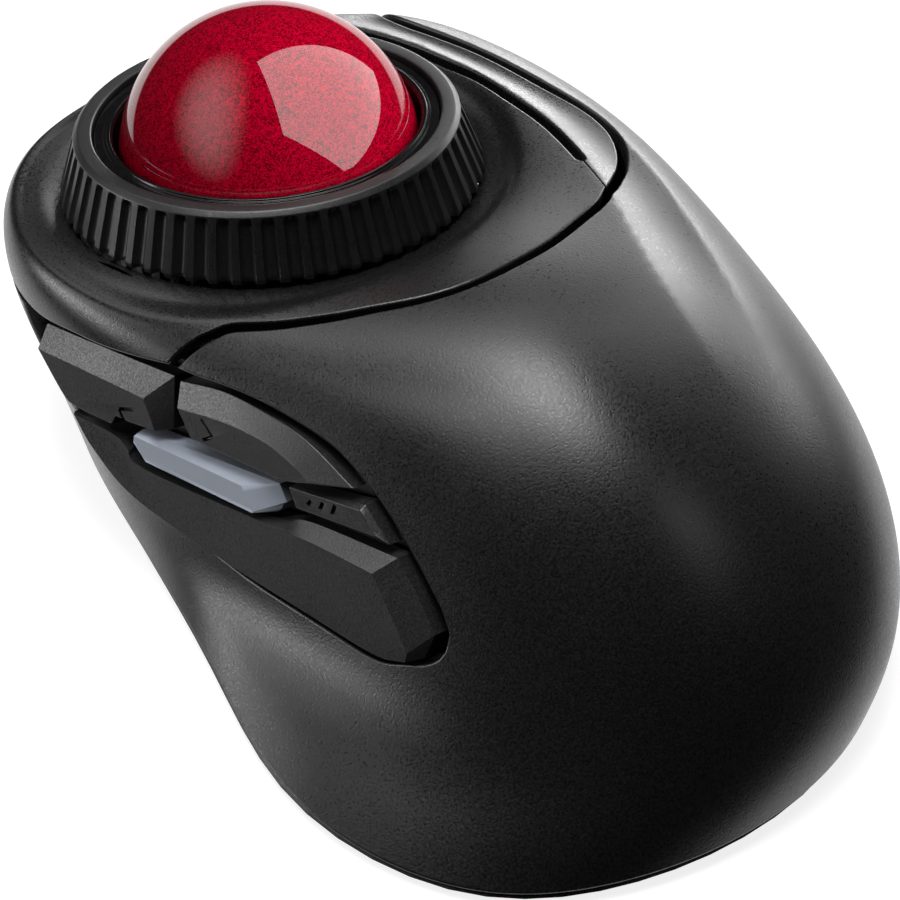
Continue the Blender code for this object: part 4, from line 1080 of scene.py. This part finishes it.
def smooth_step(tree, value, low, high, start=0.0, end=1.0):
    """A node that goes smoothly from start, at low, to end, at high."""
    made = tree.nodes.new("ShaderNodeMapRange")
    made.interpolation_type = "SMOOTHSTEP"
    sockets = ("From Min", "From Max", "To Min", "To Max")
    for socket, number in zip(sockets, (low, high, start, end)):
        made.inputs[socket].default_value = number
    tree.links.new(value, made.inputs["Value"])
    return made.outputs["Result"]


def soften(light, blur):
    """Fades a light towards its edges, from full in the middle."""
    data = light.data
    data.use_nodes = True
    tree = data.node_tree
    spot = tree.nodes.new("ShaderNodeNewGeometry").outputs["Parametric"]
    away = tree.nodes.new("ShaderNodeVectorMath")
    away.operation = "DISTANCE"
    away.inputs[1].default_value = (0.5, 0.5, 0)
    tree.links.new(spot, away.inputs[0])
    fade = smooth_step(tree, away.outputs["Value"], 0.5 * (1 - blur), 0.5, 1.0, 0.0)
    tree.links.new(fade, tree.nodes["Emission"].inputs["Strength"])


def link_light(light, obj, state):
    """Lights only this object, with state INCLUDE, or everything but it, with EXCLUDE."""
    group = bpy.data.collections.new(light.name + " set")
    group.objects.link(obj)
    light.light_linking.receiver_collection = group
    for item in group.collection_objects:
        item.light_linking.link_state = state


def make_floor():
    """A plain white sweep that glows softly, so that shadows on it stay faint."""
    size, count = 4.0, 8
    spots = np.linspace(-size, size, count + 1)
    points = [(x, y, 0.0) for x in spots for y in spots]
    faces = [(i * (count + 1) + j, (i + 1) * (count + 1) + j, (i + 1) * (count + 1) + j + 1,
              i * (count + 1) + j + 1) for i in range(count) for j in range(count)]
    mesh = bpy.data.meshes.new("floor")
    mesh.from_pydata(points, [], faces)
    n = Nodes("floor white", 0.6)
    n.shader.inputs["Base Color"].default_value = (0.3, 0.3, 0.3, 1)
    n.shader.inputs["Emission Color"].default_value = (1, 1, 1, 1)
    n.shader.inputs["Emission Strength"].default_value = 0.82
    mesh.materials.append(n.mat)
    obj = bpy.data.objects.new("floor", mesh)
    obj.visible_glossy = False
    obj.visible_diffuse = False
    obj.visible_shadow = False
    bpy.context.scene.collection.objects.link(obj)


def make_world():
    """White behind everything; the mouse sees a dim room over a white table behind it."""
    world = bpy.data.worlds.new("studio")
    world.use_nodes = True
    tree = world.node_tree
    back = tree.nodes["Background"]
    back.inputs["Color"].default_value = (1, 1, 1, 1)

    def math_node(kind, a, b):
        made = tree.nodes.new("ShaderNodeMath")
        made.operation = kind
        for socket, value in zip(made.inputs, (a, b)):
            if isinstance(value, (int, float)):
                socket.default_value = value
            else:
                tree.links.new(value, socket)
        return made.outputs[0]

    axes = tree.nodes.new("ShaderNodeSeparateXYZ")
    tree.links.new(tree.nodes.new("ShaderNodeTexCoord").outputs["Generated"], axes.inputs[0])
    ahead = math_node("ADD", math_node("MULTIPLY", axes.outputs["X"], AHEAD[0]),
                      math_node("MULTIPLY", axes.outputs["Y"], AHEAD[1]))
    low = math_node("SUBTRACT", math_node("MULTIPLY", ahead, TABLE_SLANT), axes.outputs["Z"])
    table = math_node("MULTIPLY", smooth_step(tree, low, *TABLE_EDGE), TABLE_LIGHT)
    room = math_node("ADD", table, ROOM_LIGHT)
    seen = tree.nodes.new("ShaderNodeLightPath").outputs["Is Camera Ray"]
    tree.links.new(math_node("MAXIMUM", room, seen), back.inputs["Strength"])
    bpy.context.scene.world = world


def make_camera():
    """Looks down on the mouse from behind its left side."""
    data = bpy.data.cameras.new("camera")
    data.lens = CAMERA_LENS
    data.sensor_width = 36
    data.clip_start = 0.01
    data.clip_end = 20
    camera = bpy.data.objects.new("camera", data)
    right = Vector(CAMERA_RIGHT)
    up = Vector(CAMERA_UP)
    back = right.cross(up)
    turn = Matrix((right, up, back)).transposed().to_4x4()
    camera.matrix_world = Matrix.Translation(CAMERA_PLACE) @ turn
    bpy.context.scene.collection.objects.link(camera)
    bpy.context.scene.camera = camera


def make_stage(ball):
    make_floor()
    make_world()
    make_camera()
    for name, towards, size, power in SOFTBOXES:
        place = direction(*towards)
        up = (0, 1, 0) if place[2] > 0.99 else (0, 0, 1)
        link_light(softbox(name, place, place, up, size, power), ball, "EXCLUDE")
    for name, place, facing, up, size, power, blur in BALL_PANELS:
        light = softbox(name, place, facing, up, size, power)
        link_light(light, ball, "INCLUDE")
        if blur:
            soften(light, blur)
    bpy.context.scene.view_settings.view_transform = "Standard"


# ---- the whole mouse --------------------------------------------------------------------

def build():
    looks = make_materials()
    skin("palm_shell", shell_loops(1.0), looks["shell_black"], "case")
    skin("ring_deck", deck_loops(1.0), looks["deck_black"], "case")
    skin("right_button", button_loops(0.8), looks["deck_black"], "right_key")
    skin("front_skirt", skirt_loops(1.0), looks["shell_black"], "case")
    ball = make_ball(looks["ball_red"])
    make_ring(looks["ring_black"])
    make_cup(looks["cup_black"])
    make_thumb_keys(looks["key_black"], looks["key_grey"])
    make_stage(ball)
    for name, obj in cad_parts.items():
        if not obj.hide_render:
            dress(name, obj, looks)


def dress(name, obj, looks):
    """A node that still shows gets the material of its slot."""
    slot = SLOT_OF.get(name.rstrip("0123456789_"), "case_black")
    obj.data.materials.clear()
    obj.data.materials.append(looks[slot])
    obj.modifiers.new("edge", "BEVEL").width = 0.15 * MM


# CAD nodes that still show, by the material that they get. The rest are case_black.
NODES_OF = {"chip_black": ("magnet_ring", "switch_forward", "switch_back", "switch_middle",
                           "switch_dpi", "switch_left", "switch_right", "usb_receiver",
                           "ball_sensor", "scroll_sensor"),
            "steel": ("battery_contact", "battery_spring", "screw"),
            "key_black": ("power_switch", "thumb_bezel"),
            "ceramic": ("bearing",),
            # Thumb board in black as painted shade behind the opening at the front of the key pocket.
            "board_black_as_shade": ("thumb_board",),
            "board_green": ("main_board",),
            "battery_wrap": ("battery",),
            "foot_rubber": ("foot",)}
SLOT_OF = {node: slot for slot, nodes in NODES_OF.items() for node in nodes}


build()
